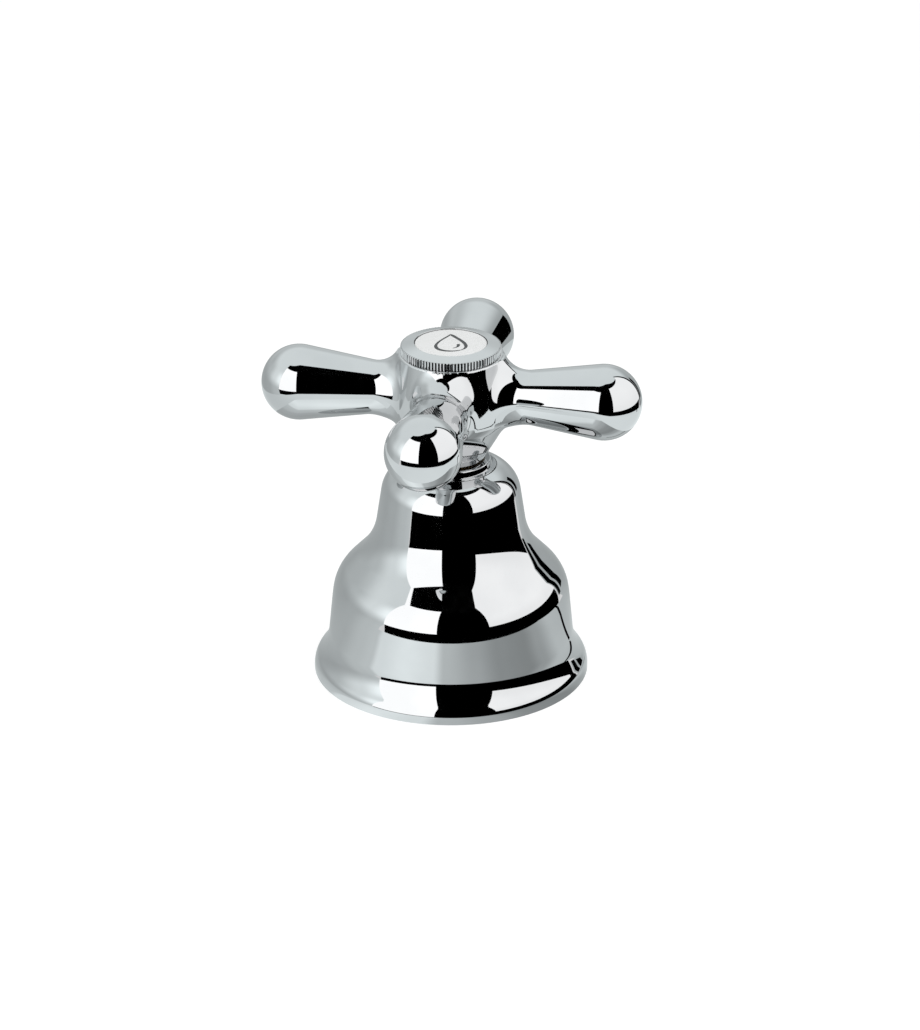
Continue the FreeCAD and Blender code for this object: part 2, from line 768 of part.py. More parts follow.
def make_spindle():
    """Spindle: drive tongue, flange with its stop sector, grooves, spline and screw hole."""
    body = new_body("spindle")
    groove_floor = "spindle_radius - seal_ring_section * 2"
    low_groove = "cage_ceiling + seal_ring_low"
    high_groove = low_groove + " + seal_ring_pitch"
    clip_floor = "spindle_radius - clip_groove_depth"
    outline = [
        ("0", "spindle_base"),
        ("cage_bore - spindle_flange_gap", "spindle_base"),
        ("cage_bore - spindle_flange_gap", "flange_top"),
        ("spindle_radius", "flange_top"),
    ]
    for middle in (low_groove, high_groove):
        outline += [
            ("spindle_radius", middle + " - seal_ring_section"),
            (groove_floor, middle + " - seal_ring_section"),
            (groove_floor, middle + " + seal_ring_section"),
            ("spindle_radius", middle + " + seal_ring_section"),
        ]
    outline += [
        ("spindle_radius", "clip_base"),
        (clip_floor, "clip_base"),
        (clip_floor, "clip_base + clip_thickness"),
        ("spindle_radius", "clip_base + clip_thickness"),
        ("spindle_radius", "spindle_top_height - spline_depth"),
        ("spindle_radius - spline_depth", "spindle_top_height"),
        ("0", "spindle_top_height"),
    ]
    turn(body, "Stem", outline)
    sweep = "turn_range * 1deg + 2 * (asin(stop_lug_width / 2 / stop_radius)"
    sweep += " + stop_gap_angle * 1deg)"
    floor = "stop_radius - stop_lug_gap"
    cut_checked(body, "StopSector", lambda: turn(body, "StopSector", [
        (floor, "spindle_base"), ("cage_bore", "spindle_base"),
        ("cage_bore", "flange_top"), (floor, "flange_top"),
    ], "Groove", sweep=sweep))
    tongue = new_sketch(body, "TongueOutline", "XY_Plane", "spindle_base - tongue_depth")
    draw_outline(tongue, [
        ("-tongue_length / 2", "-tongue_width / 2"), ("tongue_length / 2", "-tongue_width / 2"),
        ("tongue_length / 2", "tongue_width / 2"), ("-tongue_length / 2", "tongue_width / 2"),
    ])
    pad(body, "Tongue", tongue, "tongue_depth")
    spline_base = "spindle_top_height - spline_length"
    notch = new_sketch(body, "SplineOutline", "XY_Plane", spline_base)
    half_mouth = "spindle_radius * sin(180deg / spline_teeth) - spline_root_gap"
    draw_outline(notch, [
        ("spindle_radius - spline_depth", "0"),
        ("spindle_radius + spline_depth", "-2 * (" + half_mouth + ")"),
        ("spindle_radius + spline_depth", "2 * (" + half_mouth + ")"),
    ])
    one = cut_checked(body, "SplineNotch",
                      lambda: pocket(body, "SplineNotch", notch, "spline_length"))
    ring_of(body, "Spline", one, "spline_teeth")
    bore(body, "ScrewHole", "screw_radius", "spindle_top_height - screw_length",
         "spindle_top_height")
    return body


def make_spindle_o_rings():
    """Two seal rings in the spindle's grooves, as separate solids."""
    rings = []
    for number, rise in enumerate(("0", "seal_ring_pitch"), start=1):
        ring = doc.addObject("Part::Torus", "SealRing%d" % number)
        ring.setExpression("Radius1", bound("spindle_radius - seal_ring_section"))
        ring.setExpression("Radius2", bound("seal_ring_section"))
        ring.setExpression("Placement.Base.z", bound("cage_ceiling + seal_ring_low + " + rise))
        rings.append(ring)
    pair = doc.addObject("Part::Compound", "spindle_o_rings")
    pair.Label = "spindle_o_rings"
    pair.Links = rings
    return pair


def make_spindle_clip():
    """Open spring clip in the groove above the gland."""
    body = new_body("spindle_clip")
    inner = "spindle_radius - clip_groove_depth"
    outer = inner + " + clip_width"
    turn(body, "Ring", [
        (inner, "clip_base"), (outer, "clip_base"),
        (outer, "clip_base + clip_thickness"), (inner, "clip_base + clip_thickness"),
    ])
    mouth = new_sketch(body, "MouthOutline", "XY_Plane", "clip_base")
    draw_outline(mouth, [
        ("0", "-clip_opening / 2"), (outer + " + cut_margin", "-clip_opening / 2"),
        (outer + " + cut_margin", "clip_opening / 2"), ("0", "clip_opening / 2"),
    ])
    cut_checked(body, "Mouth", lambda: pocket(body, "Mouth", mouth, "clip_thickness"))
    return body


def make_thrust_washer():
    """Slip ring between the spindle's flange and the headwork's ceiling."""
    body = new_body("thrust_washer")
    outer = "spindle_bore + thrust_washer_width"
    turn(body, "Ring", [
        ("spindle_bore", "flange_top"), (outer, "flange_top"),
        (outer, "cage_ceiling - disc_lap"), ("spindle_bore", "cage_ceiling - disc_lap"),
    ])
    return body


def draw_arm(sketch):
    """Half outline of one arm: a cone that widens into a ball at the end."""
    reach, ball = size("arm_reach"), size("arm_ball_radius")
    waist = Vector(size("arm_waist_reach"), size("arm_waist_radius"), 0)
    centre = Vector(reach, 0, 0)
    apart = centre - waist
    lean = math.asin(ball / apart.Length) + math.atan2(apart.y, apart.x)
    touch = centre + Vector(-math.sin(lean), math.cos(lean), 0) * ball
    root = Vector(0, touch.y - touch.x * math.tan(lean), 0)
    tip = Vector(reach + ball, 0, 0)
    back = sketch.addGeometry(Part.LineSegment(Vector(0, 0, 0), root))
    side = sketch.addGeometry(Part.LineSegment(root, touch))
    cap, opens = draw_arc(sketch, centre, touch, tip)
    axis = sketch.addGeometry(Part.LineSegment(tip, Vector(0, 0, 0)))
    sketch.addConstraint(Sketcher.Constraint("Coincident", back, 2, side, 1))
    sketch.addConstraint(Sketcher.Constraint("Tangent", side, 2, cap, opens))
    sketch.addConstraint(Sketcher.Constraint("Coincident", cap, 3 - opens, axis, 1))
    sketch.addConstraint(Sketcher.Constraint("Coincident", axis, 2, back, 1))
    sketch.addConstraint(Sketcher.Constraint("Coincident", back, 1, -1, 1))
    sketch.addConstraint(Sketcher.Constraint("Vertical", back))
    sketch.addConstraint(Sketcher.Constraint("Horizontal", axis))
    pin_point(sketch, cap, 3, "arm_reach", "0")
    index = sketch.addConstraint(Sketcher.Constraint("Radius", cap, ball))
    sketch.setExpression("Constraints[%d]" % index, bound("arm_ball_radius"))
    mark = sketch.addGeometry(Part.Point(waist), True)
    pin_point(sketch, mark, 1, "arm_waist_reach", "arm_waist_radius")
    sketch.addConstraint(Sketcher.Constraint("PointOnObject", mark, 1, side))
    return sketch


def make_cross_handle():
    """One casting: inverted-cone hub with four ball-ended arms blended into it."""
    body = new_body("cross_handle")
    belly = "hub_neck_radius + hub_cone_widening"
    turn(body, "Hub", [
        ("0", "hub_base"),
        ("hub_neck_radius", "hub_base", "hub_edge_round"),
        (belly, "hub_base + hub_cone_height", "hub_belly_round"),
        (belly + " - hub_taper", "hub_top_height", "hub_edge_round"),
        ("0", "hub_top_height"),
    ])
    sketch = draw_arm(new_sketch(body, "ArmOutline", "XZ_Plane", "arm_height"))
    arm = body.newObject("PartDesign::Revolution", "Arm")
    arm.Profile = sketch
    arm.ReferenceAxis = (sketch, ["H_Axis"])
    arm.Angle = 360
    doc.recompute()
    arms = ring_of(body, "Arms", arm, "arm_count")
    joins = edges_where(arms, lambda edge, middle: not isinstance(
        edge.Curve, (Part.Circle, Part.Line)))
    round_edges(body, "ArmBlends", arms, joins, "arm_blend_radius")
    bore(body, "InsertBore", "insert_radius", "hub_base", "web_underside")
    bore(body, "ScrewBore", "screw_radius + screw_hole_gap", "web_underside", "web_top")
    bore(body, "Well", "well_radius", "web_top", "hub_top_height")
    return body


def make_spline_insert():
    """Broached bush that carries the handle on the spindle's spline."""
    body = new_body("spline_insert")
    turn(body, "Bush", [
        ("spindle_bore", "hub_base + insert_recess"),
        ("insert_radius", "hub_base + insert_recess"),
        ("insert_radius", "web_underside"),
        ("spindle_bore", "web_underside"),
    ])
    return body


def make_handle_screw():
    """Round-headed slotted screw down the handle's well into the spindle."""
    body = new_body("handle_screw")
    head_top = "washer_top + screw_head_height"
    turn(body, "Screw", [
        ("0", "spindle_top_height - screw_length"),
        ("screw_radius - edge_break", "spindle_top_height - screw_length"),
        ("screw_radius", "spindle_top_height - screw_length + edge_break"),
        ("screw_radius", "washer_top"),
        ("screw_head_radius", "washer_top"),
        ("screw_head_radius", head_top, "screw_head_height / 2"),
        ("0", head_top),
    ])
    slot = new_sketch(body, "SlotOutline", "XY_Plane", head_top)
    long_half = "screw_head_radius + cut_margin"
    draw_outline(slot, [
        ("-(" + long_half + ")", "-screw_slot_width / 2"), (long_half, "-screw_slot_width / 2"),
        (long_half, "screw_slot_width / 2"), ("-(" + long_half + ")", "screw_slot_width / 2"),
    ])
    cut_checked(body, "Slot", lambda: pocket(
        body, "Slot", slot, "screw_slot_depth", upwards=False))
    return body


def make_screw_washer():
    """Flat washer under the screw's head."""
    body = new_body("screw_washer")
    hole = "screw_radius + screw_hole_gap"
    turn(body, "Washer", [
        (hole, "web_top"), ("washer_radius", "web_top"),
        ("washer_radius", "washer_top"), (hole, "washer_top"),
    ])
    return body


def make_index_ring():
    """Ring on the handle: spigot, serrated edge, sloping face and recess for the disc."""
    body = new_body("index_ring")
    spigot_base = "hub_top_height - index_spigot_length"
    floor = "disc_seat - index_floor_thickness"
    turn(body, "Ring", [
        ("spigot_radius - index_spigot_wall", spigot_base),
        ("spigot_radius", spigot_base),
        ("spigot_radius", "hub_top_height"),
        ("index_radius - index_edge_chamfer", "hub_top_height"),
        ("index_radius", "hub_top_height + index_edge_chamfer"),
        ("index_radius", "edge_top - index_edge_chamfer"),
        ("index_radius - index_edge_chamfer", "edge_top"),
        ("disc_recess_radius", "index_top"),
        ("disc_recess_radius", "disc_seat"),
        ("0", "disc_seat"),
        ("0", floor),
        ("spigot_radius - index_spigot_wall", floor),
    ])
    notch = new_sketch(body, "NotchOutline", "XY_Plane", "hub_top_height")
    half_mouth = "(index_radius + serration_depth) * tan(180deg / serration_count)"
    draw_outline(notch, [
        ("index_radius - serration_depth", "0"),
        ("index_radius + serration_depth", "-2 * " + half_mouth),
        ("index_radius + serration_depth", "2 * " + half_mouth),
    ])
    one = cut_checked(body, "Notch",
                      lambda: pocket(body, "Notch", notch, "index_edge_height"))
    ring_of(body, "Serrations", one, "serration_count")
    return body


def make_index_disc():
    """Glazed disc with a slight crown and a rounded edge."""
    body = new_body("index_disc")
    low = "disc_seat"
    edge = "disc_seat + index_disc_thickness - index_disc_crown"
    turn(body, "Disc", [
        ("0", low),
        ("index_disc_radius", low),
        ("index_disc_radius", edge, "index_disc_round"),
        ("0", "disc_seat + index_disc_thickness"),
    ])
    return body


SUB_PARTS = [
    make_bell, make_base_gasket, make_collar_gasket, make_collar_ring, make_extension_sleeve,
    make_guide_bush, make_cartridge_body, make_body_gasket, make_fixed_disc, make_lip_seal,
    make_seal_support, make_moving_disc, make_spindle, make_spindle_o_rings, make_spindle_clip,
    make_thrust_washer, make_cross_handle, make_spline_insert, make_handle_screw,
    make_screw_washer, make_index_ring, make_index_disc,
]

parts = [make() for make in SUB_PARTS]
doc.recompute()

for item in doc.Objects:
    if "Invalid" in item.State or "Error" in item.State:
        raise RuntimeError("%s is not sound: %s" % (item.Label, item.State))
for part in parts:
    if part.Shape.isNull() or not part.Shape.isValid():
        raise RuntimeError(part.Label + " has no valid shape")

os.makedirs("parts", exist_ok=True)
for part in parts:
    part.Shape.exportStep(os.path.join("parts", part.Label + ".step"))
    print("%-18s %3d solid(s) %10.1f mm3" % (part.Label, len(part.Shape.Solids), part.Shape.Volume))
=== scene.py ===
"""Looks of the cross handle tap: a chromed bell with a four-arm handle and a white index disc.

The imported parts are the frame.  The pieces that show are rebuilt here as dense, exactly
shaded surfaces, so that they mirror the studio without facets, and the parts inside the
bell keep their meshes and get finishes of their own.
"""

import logging
import math
from abc import ABC, abstractmethod
from collections.abc import Sequence
from dataclasses import dataclass
from enum import Enum

import bmesh
import bpy
import numpy as np
from mathutils import Matrix


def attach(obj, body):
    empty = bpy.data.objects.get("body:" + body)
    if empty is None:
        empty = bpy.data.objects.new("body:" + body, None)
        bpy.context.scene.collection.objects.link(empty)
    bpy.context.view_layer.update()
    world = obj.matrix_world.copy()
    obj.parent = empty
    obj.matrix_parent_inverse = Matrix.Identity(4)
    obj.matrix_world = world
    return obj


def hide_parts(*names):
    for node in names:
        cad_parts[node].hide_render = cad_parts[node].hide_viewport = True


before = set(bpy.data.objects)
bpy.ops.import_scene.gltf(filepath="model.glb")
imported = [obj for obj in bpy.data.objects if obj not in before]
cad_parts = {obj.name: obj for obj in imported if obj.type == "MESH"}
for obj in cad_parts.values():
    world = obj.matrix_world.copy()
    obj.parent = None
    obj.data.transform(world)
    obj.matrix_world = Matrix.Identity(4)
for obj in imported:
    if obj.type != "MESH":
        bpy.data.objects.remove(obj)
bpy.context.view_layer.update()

MM = 0.001
TINY = 1e-9
Pair = tuple[float, float]
Triple = tuple[float, float, float]
Stops = tuple[Pair, ...]
Socket = bpy.types.NodeSocket
WHITE: Triple = (1.0, 1.0, 1.0)
log = logging.getLogger("tap")


class Body(Enum):
    """The two bodies of the tap."""

    FIXED = "base"
    TURNING = "handle"


class Slot(Enum):
    """The record's finishes that the new pieces take."""

    CHROME = "chrome"
    PORCELAIN = "porcelain"


# ----- Finishes -----

class NodeDesk:
    """A node tree, with short calls that add nodes to it and link them."""

    def __init__(self, tree: bpy.types.NodeTree) -> None:
        """Take the tree to work on."""
        self.tree = tree

    def add(self, kind: str, **settings: object) -> bpy.types.Node:
        """Add one node.

        Args:
            kind: the node's type.
            settings: properties to set on it.

        Returns:
            The node.
        """
        node = self.tree.nodes.new(kind)
        for key, value in settings.items():
            setattr(node, key, value)
        return node

    def feed(self, socket: Socket, value: object) -> None:
        """Give a socket its value.

        Args:
            socket: the socket.
            value: another node's output to link, or a plain value to set.
        """
        if isinstance(value, Socket):
            self.tree.links.new(value, socket)
        else:
            socket.default_value = value

    def sum(self, operation: str, *values: object) -> Socket:
        """Do one sum.

        Args:
            operation: the sum's name.
            values: sockets or plain numbers.

        Returns:
            The result.
        """
        node = self.add("ShaderNodeMath", operation=operation)
        for socket, value in zip(node.inputs, values):
            self.feed(socket, value)
        return node.outputs[0]

    def spread(self, value: Socket, low: float, high: float,
               start: float = 0.0, end: float = 1.0) -> Socket:
        """Map a value's range smoothly onto another, held at both ends.

        Args:
            value: the value.
            low: the result at start.
            high: the result at end.
            start: the value where the range begins.
            end: the value where it ends.

        Returns:
            The mapped value.
        """
        node = self.add("ShaderNodeMapRange", interpolation_type="SMOOTHSTEP")
        limits = {"From Min": start, "From Max": end, "To Min": low, "To Max": high}
        for name, number in limits.items():
            node.inputs[name].default_value = number
        self.feed(node.inputs["Value"], value)
        return node.outputs["Result"]

    def graded(self, value: Socket, stops: Stops) -> Socket:
        """Map a value smoothly through stops.

        Args:
            value: the value.
            stops: values, each with the number that it becomes.

        Returns:
            The mapped value.
        """
        total: object = stops[0][1]
        for (start, low), (end, high) in zip(stops, stops[1:]):
            total = self.sum("ADD", self.spread(value, 0.0, high - low, start, end), total)
        return total


class Bench(NodeDesk):
    """A material's node tree, with the patterns that the finishes share."""

    def __init__(self, name: str) -> None:
        """Start an empty material and its pattern space, in millimetres on the piece.

        Args:
            name: the material's name.
        """
        self.material = bpy.data.materials.new(name)
        self.material.use_nodes = True
        super().__init__(self.material.node_tree)
        self.tree.nodes.clear()
        self.out = self.add("ShaderNodeOutputMaterial")
        self.space = self.add("ShaderNodeTexCoord").outputs["Object"]

    def noise(self, scale: float | Triple, detail: float = 2.0,
              roughness: float = 0.5) -> Socket:
        """A noise from 0 to 1.

        Args:
            scale: repeats per millimetre, one number or one for each axis.
            detail: number of finer layers.
            roughness: strength of the finer layers.

        Returns:
            The noise's value.
        """
        axes = scale if isinstance(scale, tuple) else (scale, scale, scale)
        space = self.add("ShaderNodeMapping")
        self.feed(space.inputs["Vector"], self.space)
        self.feed(space.inputs["Scale"], tuple(axis / MM for axis in axes))
        node = self.add("ShaderNodeTexNoise")
        self.feed(node.inputs["Vector"], space.outputs["Vector"])
        for name, number in {"Scale": 1.0, "Detail": detail, "Roughness": roughness}.items():
            self.feed(node.inputs[name], number)
        return node.outputs["Fac"]

    def mixed(self, share: Socket, first: Triple | Socket, second: Triple | Socket) -> Socket:
        """Mix two colours.

        Args:
            share: the second colour's share.
            first: a plain or linked colour.
            second: the same.

        Returns:
            The mixed colour.
        """
        node = self.add("ShaderNodeMix", data_type="RGBA")
        self.feed(node.inputs["Factor"], share)
        places = [s for s in node.inputs if s.type == "RGBA"]
        for place, colour in zip(places, (first, second)):
            self.feed(place, (*colour, 1) if isinstance(colour, tuple) else colour)
        return next(s for s in node.outputs if s.type == "RGBA")

    def relief(self, height: Socket, depth: float, under: Socket | None = None) -> Socket:
        """A bump.

        Args:
            height: the bump's height, from 0 to 1.
            depth: its full height in millimetres.
            under: another bump that it lies on.

        Returns:
            The bumped surface direction.
        """
        node = self.add("ShaderNodeBump")
        node.inputs["Strength"].default_value = 1.0
        node.inputs["Distance"].default_value = depth * MM
        self.feed(node.inputs["Height"], height)
        if under is not None:
            self.feed(node.inputs["Normal"], under)
        return node.outputs["Normal"]

    def surface(self, **sockets: object) -> bpy.types.Material:
        """Close the material with a Principled shader.

        Args:
            sockets: values or links for the shader's sockets, underscores standing for blanks.

        Returns:
            The finished material.
        """
        shader = self.add("ShaderNodeBsdfPrincipled")
        for name, value in sockets.items():
            self.feed(shader.inputs[name.replace("_", " ")], value)
        self.feed(self.out.inputs["Surface"], shader.outputs["BSDF"])
        return self.material


class Finish(ABC):
    """A finish that can be made into a material, once."""

    name: str

    @abstractmethod
    def make(self) -> bpy.types.Material:
        """Build the material."""

    def material(self) -> bpy.types.Material:
        """The material, built the first time it is asked for."""
        return bpy.data.materials.get(self.name) or self.make()

    def dress(self, piece: bpy.types.Object) -> None:
        """Put the finish on every face of a piece.

        Args:
            piece: the piece.
        """
        slots = piece.material_slots
        if not slots:
            piece.data.materials.append(self.material())
        for slot in slots:
            slot.material = self.material()


@dataclass(frozen=True)
class Chrome(Finish):
    """Bright chrome over polished brass: a clear mirror with faint buffing haze and waviness."""

    name: str = "bright_chrome"
    tint: Triple = (0.605, 0.612, 0.618)
    shade: Triple = (0.575, 0.583, 0.590)
    polish: float = 0.018
    haze: float = 0.050
    wave_pitch: float = 9.0
    wave_depth: float = 0.007
    buff_pitch: float = 0.35
    buff_depth: float = 0.00006
    cloud_edges: Pair = (0.35, 0.65)
    wipe_edges: Pair = (0.35, 0.8)

    def colour(self, bench: Bench) -> Socket:
        """The metal's colour, clouded a little."""
        cloud = bench.spread(bench.noise(0.09, detail=3.0), 0, 1, *self.cloud_edges)
        return bench.mixed(cloud, self.shade, self.tint)

    def make(self) -> bpy.types.Material:
        """Build the material.

        Returns:
            The material.
        """
        bench = Bench(self.name)
        wipe = bench.noise((0.5, 0.5, 0.08), detail=4.0, roughness=0.6)
        wave = bench.relief(bench.noise(1 / self.wave_pitch, detail=1.0), self.wave_depth)
        marks = bench.noise(1 / self.buff_pitch, detail=3.0, roughness=0.7)
        return bench.surface(
            Base_Color=self.colour(bench), Metallic=1.0,
            Roughness=bench.spread(wipe, self.polish, self.haze, *self.wipe_edges),
            Normal=bench.relief(marks, self.buff_depth, wave))


@dataclass(frozen=True)
class Knurled(Chrome):
    """Chrome on the serrated ring, with painted shade that darkens the bottom of the notches."""

    name: str = "knurled_chrome"
    notch_shade: Triple = (0.030, 0.032, 0.035)
    unshaded_radius: float = 10.42
    shaded_radius: float = 10.20
    rim_top: float = 73.12
    rim_fade: float = 0.12

    def colour(self, bench: Bench) -> Socket:
        """Chrome with painted shade that darkens inwards from the rim, below the bevel.

        Args:
            bench: the tree to add to.

        Returns:
            The colour.
        """
        split = bench.add("ShaderNodeSeparateXYZ")
        bench.feed(split.inputs[0], bench.space)
        squares = [bench.sum("POWER", split.outputs[axis], 2.0) for axis in "XY"]
        radius = bench.sum("SQRT", bench.sum("ADD", *squares))
        deep = bench.spread(bench.sum("DIVIDE", radius, MM), 1.0, 0.0,
                            self.shaded_radius, self.unshaded_radius)
        below = bench.spread(bench.sum("DIVIDE", split.outputs["Z"], MM), 1.0, 0.0,
                             self.rim_top - self.rim_fade, self.rim_top + self.rim_fade)
        # Painted shade: the notch valleys below the bevel are mixed towards near black.
        return bench.mixed(bench.sum("MULTIPLY", deep, below), super().colour(bench), self.notch_shade)


@dataclass(frozen=True)
class Glaze(Finish):
    """White vitreous enamel: a smooth glassy coat over a faintly mottled white."""

    name: str = "white_glaze"
    white: Triple = (0.89, 0.892, 0.89)
    cream: Triple = (0.85, 0.85, 0.84)
    gloss: float = 0.12
    dull: float = 0.22
    orange_peel: float = 0.0006
    mottle_edges: Pair = (0.4, 0.8)
    mottle_share: float = 0.8
    speck_edges: Pair = (0.22, 0.30)

    def make(self) -> bpy.types.Material:
        """Build the material.

        Returns:
            The material.
        """
        bench = Bench(self.name)
        mottle = bench.spread(bench.noise(0.45, detail=4.0, roughness=0.6),
                              0, self.mottle_share, *self.mottle_edges)
        specks = bench.spread(bench.noise(5.0, detail=1.0), 1, 0, *self.speck_edges)
        share = bench.sum("MAXIMUM", mottle, specks)
        return bench.surface(
            Base_Color=bench.mixed(share, self.white, self.cream),
            Roughness=bench.spread(bench.noise(0.8), self.gloss, self.dull),
            Coat_Weight=0.6, Coat_Roughness=0.05,
            Normal=bench.relief(bench.noise(0.9), self.orange_peel))


@dataclass(frozen=True)
class Ink(Finish):
    """Fired dark line work on the glaze, a little uneven in tone."""

    name: str = "fired_ink"
    dark: Triple = (0.012, 0.013, 0.015)
    light: Triple = (0.05, 0.052, 0.056)
    fired: float = 0.25
    matt: float = 0.45
    patch_edges: Pair = (0.4, 0.8)
    relief_depth: float = 0.001

    def make(self) -> bpy.types.Material:
        """Build the material.

        Returns:
            The material.
        """
        bench = Bench(self.name)
        patches = bench.spread(bench.noise(2.5, detail=3.0), 0, 1, *self.patch_edges)
        return bench.surface(
            Base_Color=bench.mixed(patches, self.dark, self.light),
            Roughness=bench.spread(bench.noise(4.0), self.fired, self.matt),
            Normal=bench.relief(bench.noise(6.0), self.relief_depth))


# Where the middle of a noise begins and ends, for slow clouds of tone and for fine grain.
CLOUD_EDGES: Pair = (0.35, 0.75)
GRAIN_EDGES: Pair = (0.3, 0.7)


@dataclass(frozen=True)
class Turned(Finish):
    """A metal left as the lathe leaves it: fine rings across the axis and a dull bloom."""

    name: str
    bright: Triple
    dull: Triple
    smooth: float = 0.18
    rough: float = 0.38
    ring_pitch: float = 0.12
    ring_depth: float = 0.0015

    def make(self) -> bpy.types.Material:
        """Build the material.

        Returns:
            The material.
        """
        bench = Bench(self.name)
        bloom = bench.noise(0.22, detail=5.0, roughness=0.6)
        rings = bench.noise((0.02, 0.02, 1 / self.ring_pitch))
        return bench.surface(
            Base_Color=bench.mixed(bench.spread(bloom, 0, 1, *CLOUD_EDGES), self.bright, self.dull),
            Metallic=1.0, Roughness=bench.spread(rings, self.smooth, self.rough, *GRAIN_EDGES),
            Normal=bench.relief(rings, self.ring_depth))


@dataclass(frozen=True)
class Moulded(Finish):
    """A moulded or sintered piece: fine grain, and a slow change of tone."""

    name: str
    tone: Triple
    worn: Triple
    smooth: float
    rough: float
    grain_pitch: float
    grain_depth: float

    def make(self) -> bpy.types.Material:
        """Build the material.

        Returns:
            The material.
        """
        bench = Bench(self.name)
        grain = bench.noise(1 / self.grain_pitch, detail=3.0, roughness=0.65)
        cloud = bench.spread(bench.noise(0.3, detail=4.0), 0, 1, *CLOUD_EDGES)
        return bench.surface(
            Base_Color=bench.mixed(cloud, self.tone, self.worn),
            Roughness=bench.spread(grain, self.smooth, self.rough, *GRAIN_EDGES),
            Normal=bench.relief(grain, self.grain_depth))


CHROME = Chrome()
KNURLED = Knurled()
GLAZE = Glaze()
INK = Ink()
BRASS = Turned("turned_brass", (0.80, 0.60, 0.28), (0.62, 0.44, 0.19))
# Brass darkened as painted shade, for the sleeve that shows through the gap between the handle and
# the collar.
GAP_SHADED_BRASS = Turned("gap_shaded_brass", (0.20, 0.15, 0.08), (0.10, 0.08, 0.045), 0.30, 0.50)
STEEL = Turned("turned_steel", (0.60, 0.60, 0.59), (0.48, 0.48, 0.47), 0.16, 0.34, 0.08, 0.001)
ALUMINA = Moulded("lapped_alumina", (0.80, 0.79, 0.75), (0.72, 0.70, 0.65),
                  0.16, 0.34, 0.08, 0.0006)
RUBBER = Moulded("black_rubber", (0.018, 0.018, 0.019), (0.045, 0.044, 0.043),
                 0.50, 0.72, 0.15, 0.004)
ACETAL = Moulded("slippery_plastic", (0.72, 0.71, 0.67), (0.62, 0.60, 0.55),
                 0.30, 0.46, 0.25, 0.002)

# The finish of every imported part, also of the five that denser pieces stand for.
NODE_FINISHES: dict[Finish, tuple[str, ...]] = {
    GAP_SHADED_BRASS: ("extension_sleeve",),
    BRASS: ("cartridge_body", "spindle", "spline_insert"),
    ALUMINA: ("fixed_disc", "moving_disc"),
    RUBBER: ("base_gasket", "collar_gasket", "body_gasket", "lip_seal", "spindle_o_rings"),
    ACETAL: ("guide_bush", "thrust_washer", "seal_support"),
    STEEL: ("handle_screw", "screw_washer", "spindle_clip"),
    CHROME: ("bell", "collar_ring", "cross_handle", "index_ring"),
    GLAZE: ("index_disc",),
}


# ----- Outlines and turned pieces -----

@dataclass(frozen=True)
class Corner:
    """One corner of a turned outline, in millimetres; a round is tangent to both runs."""

    across: float
    up: float
    round: float = 0.0


@dataclass(frozen=True)
class Span:
    """A short stretch of an outline and the surface directions at its two ends."""

    start: Pair
    end: Pair
    start_normal: Pair
    end_normal: Pair


def outward(along: np.ndarray) -> Pair:
    """The direction square to a run, outwards on an anticlockwise outline."""
    length = float(np.hypot(*along))
    return (float(along[1]) / length, -float(along[0]) / length)


def arc_spans(corner: Corner, before: np.ndarray, after: np.ndarray, step: float) -> list[Span]:
    """Spans of the arc that rounds one corner.

    Args:
        corner: the corner, with its round.
        before: the corner that comes before it.
        after: the corner that comes after it.
        step: largest turn of one span, in degrees.

    Returns:
        The arc's spans in order.
    """
    apex = np.array([corner.across, corner.up])
    towards = (before - apex) / np.hypot(*(before - apex))
    onwards = (after - apex) / np.hypot(*(after - apex))
    half = math.acos(float(np.clip(towards @ onwards, -1, 1))) / 2
    middle = (towards + onwards) / np.hypot(*(towards + onwards))
    centre = apex + middle * (corner.round / math.sin(half))
    trim = corner.round / math.tan(half)
    first, last = apex + towards * trim - centre, apex + onwards * trim - centre
    begin = math.atan2(first[1], first[0])
    turn = math.remainder(math.atan2(last[1], last[0]) - begin, math.tau)
    count = max(2, math.ceil(abs(math.degrees(turn)) / step))
    side = 1.0 if turn > 0 else -1.0
    angles = [begin + turn * i / count for i in range(count + 1)]
    points = [centre + corner.round * np.array([math.cos(a), math.sin(a)]) for a in angles]
    normals = [(side * math.cos(a), side * math.sin(a)) for a in angles]
    return [Span(tuple(points[i]), tuple(points[i + 1]), normals[i], normals[i + 1])
            for i in range(count)]


def outline_parts(corners: Sequence[Corner], step: float) -> tuple[
        list[list[Span]], list[tuple[np.ndarray, np.ndarray]]]:
    """Part a closed, anticlockwise outline into its rounds and its straight runs.

    Args:
        corners: the outline's corners; the last joins the first.
        step: largest turn of one span of an arc, in degrees.

    Returns:
        Each corner's arc, empty where it is sharp, and the two ends of the run after it.
    """
    places = [np.array([c.across, c.up]) for c in corners]
    count = len(corners)
    arcs = [arc_spans(c, places[i - 1], places[(i + 1) % count], step) if c.round else []
            for i, c in enumerate(corners)]
    runs = []
    for i in range(count):
        after = (i + 1) % count
        runs.append((np.array(arcs[i][-1].end) if arcs[i] else places[i],
                     np.array(arcs[after][0].start) if arcs[after] else places[after]))
    return arcs, runs


def outline_spans(corners: Sequence[Corner], step: float) -> list[Span]:
    """Turn an outline into spans with exact surface directions.

    Args:
        corners: the outline's corners.
        step: largest turn of one span of an arc, in degrees.

    Returns:
        The spans all the way round.
    """
    spans: list[Span] = []
    for arc, (start, end) in zip(*outline_parts(corners, step)):
        spans += arc
        if np.hypot(*(end - start)) > TINY:
            normal = outward(end - start)
            spans.append(Span(tuple(start), tuple(end), normal, normal))
    return spans


def mesh_object(name: str, mesh: bpy.types.Mesh) -> bpy.types.Object:
    """Put a mesh into the scene, at the origin.

    Args:
        name: the object's name.
        mesh: its mesh.

    Returns:
        The object.
    """
    thing = bpy.data.objects.new(name, mesh)
    bpy.context.scene.collection.objects.link(thing)
    return thing


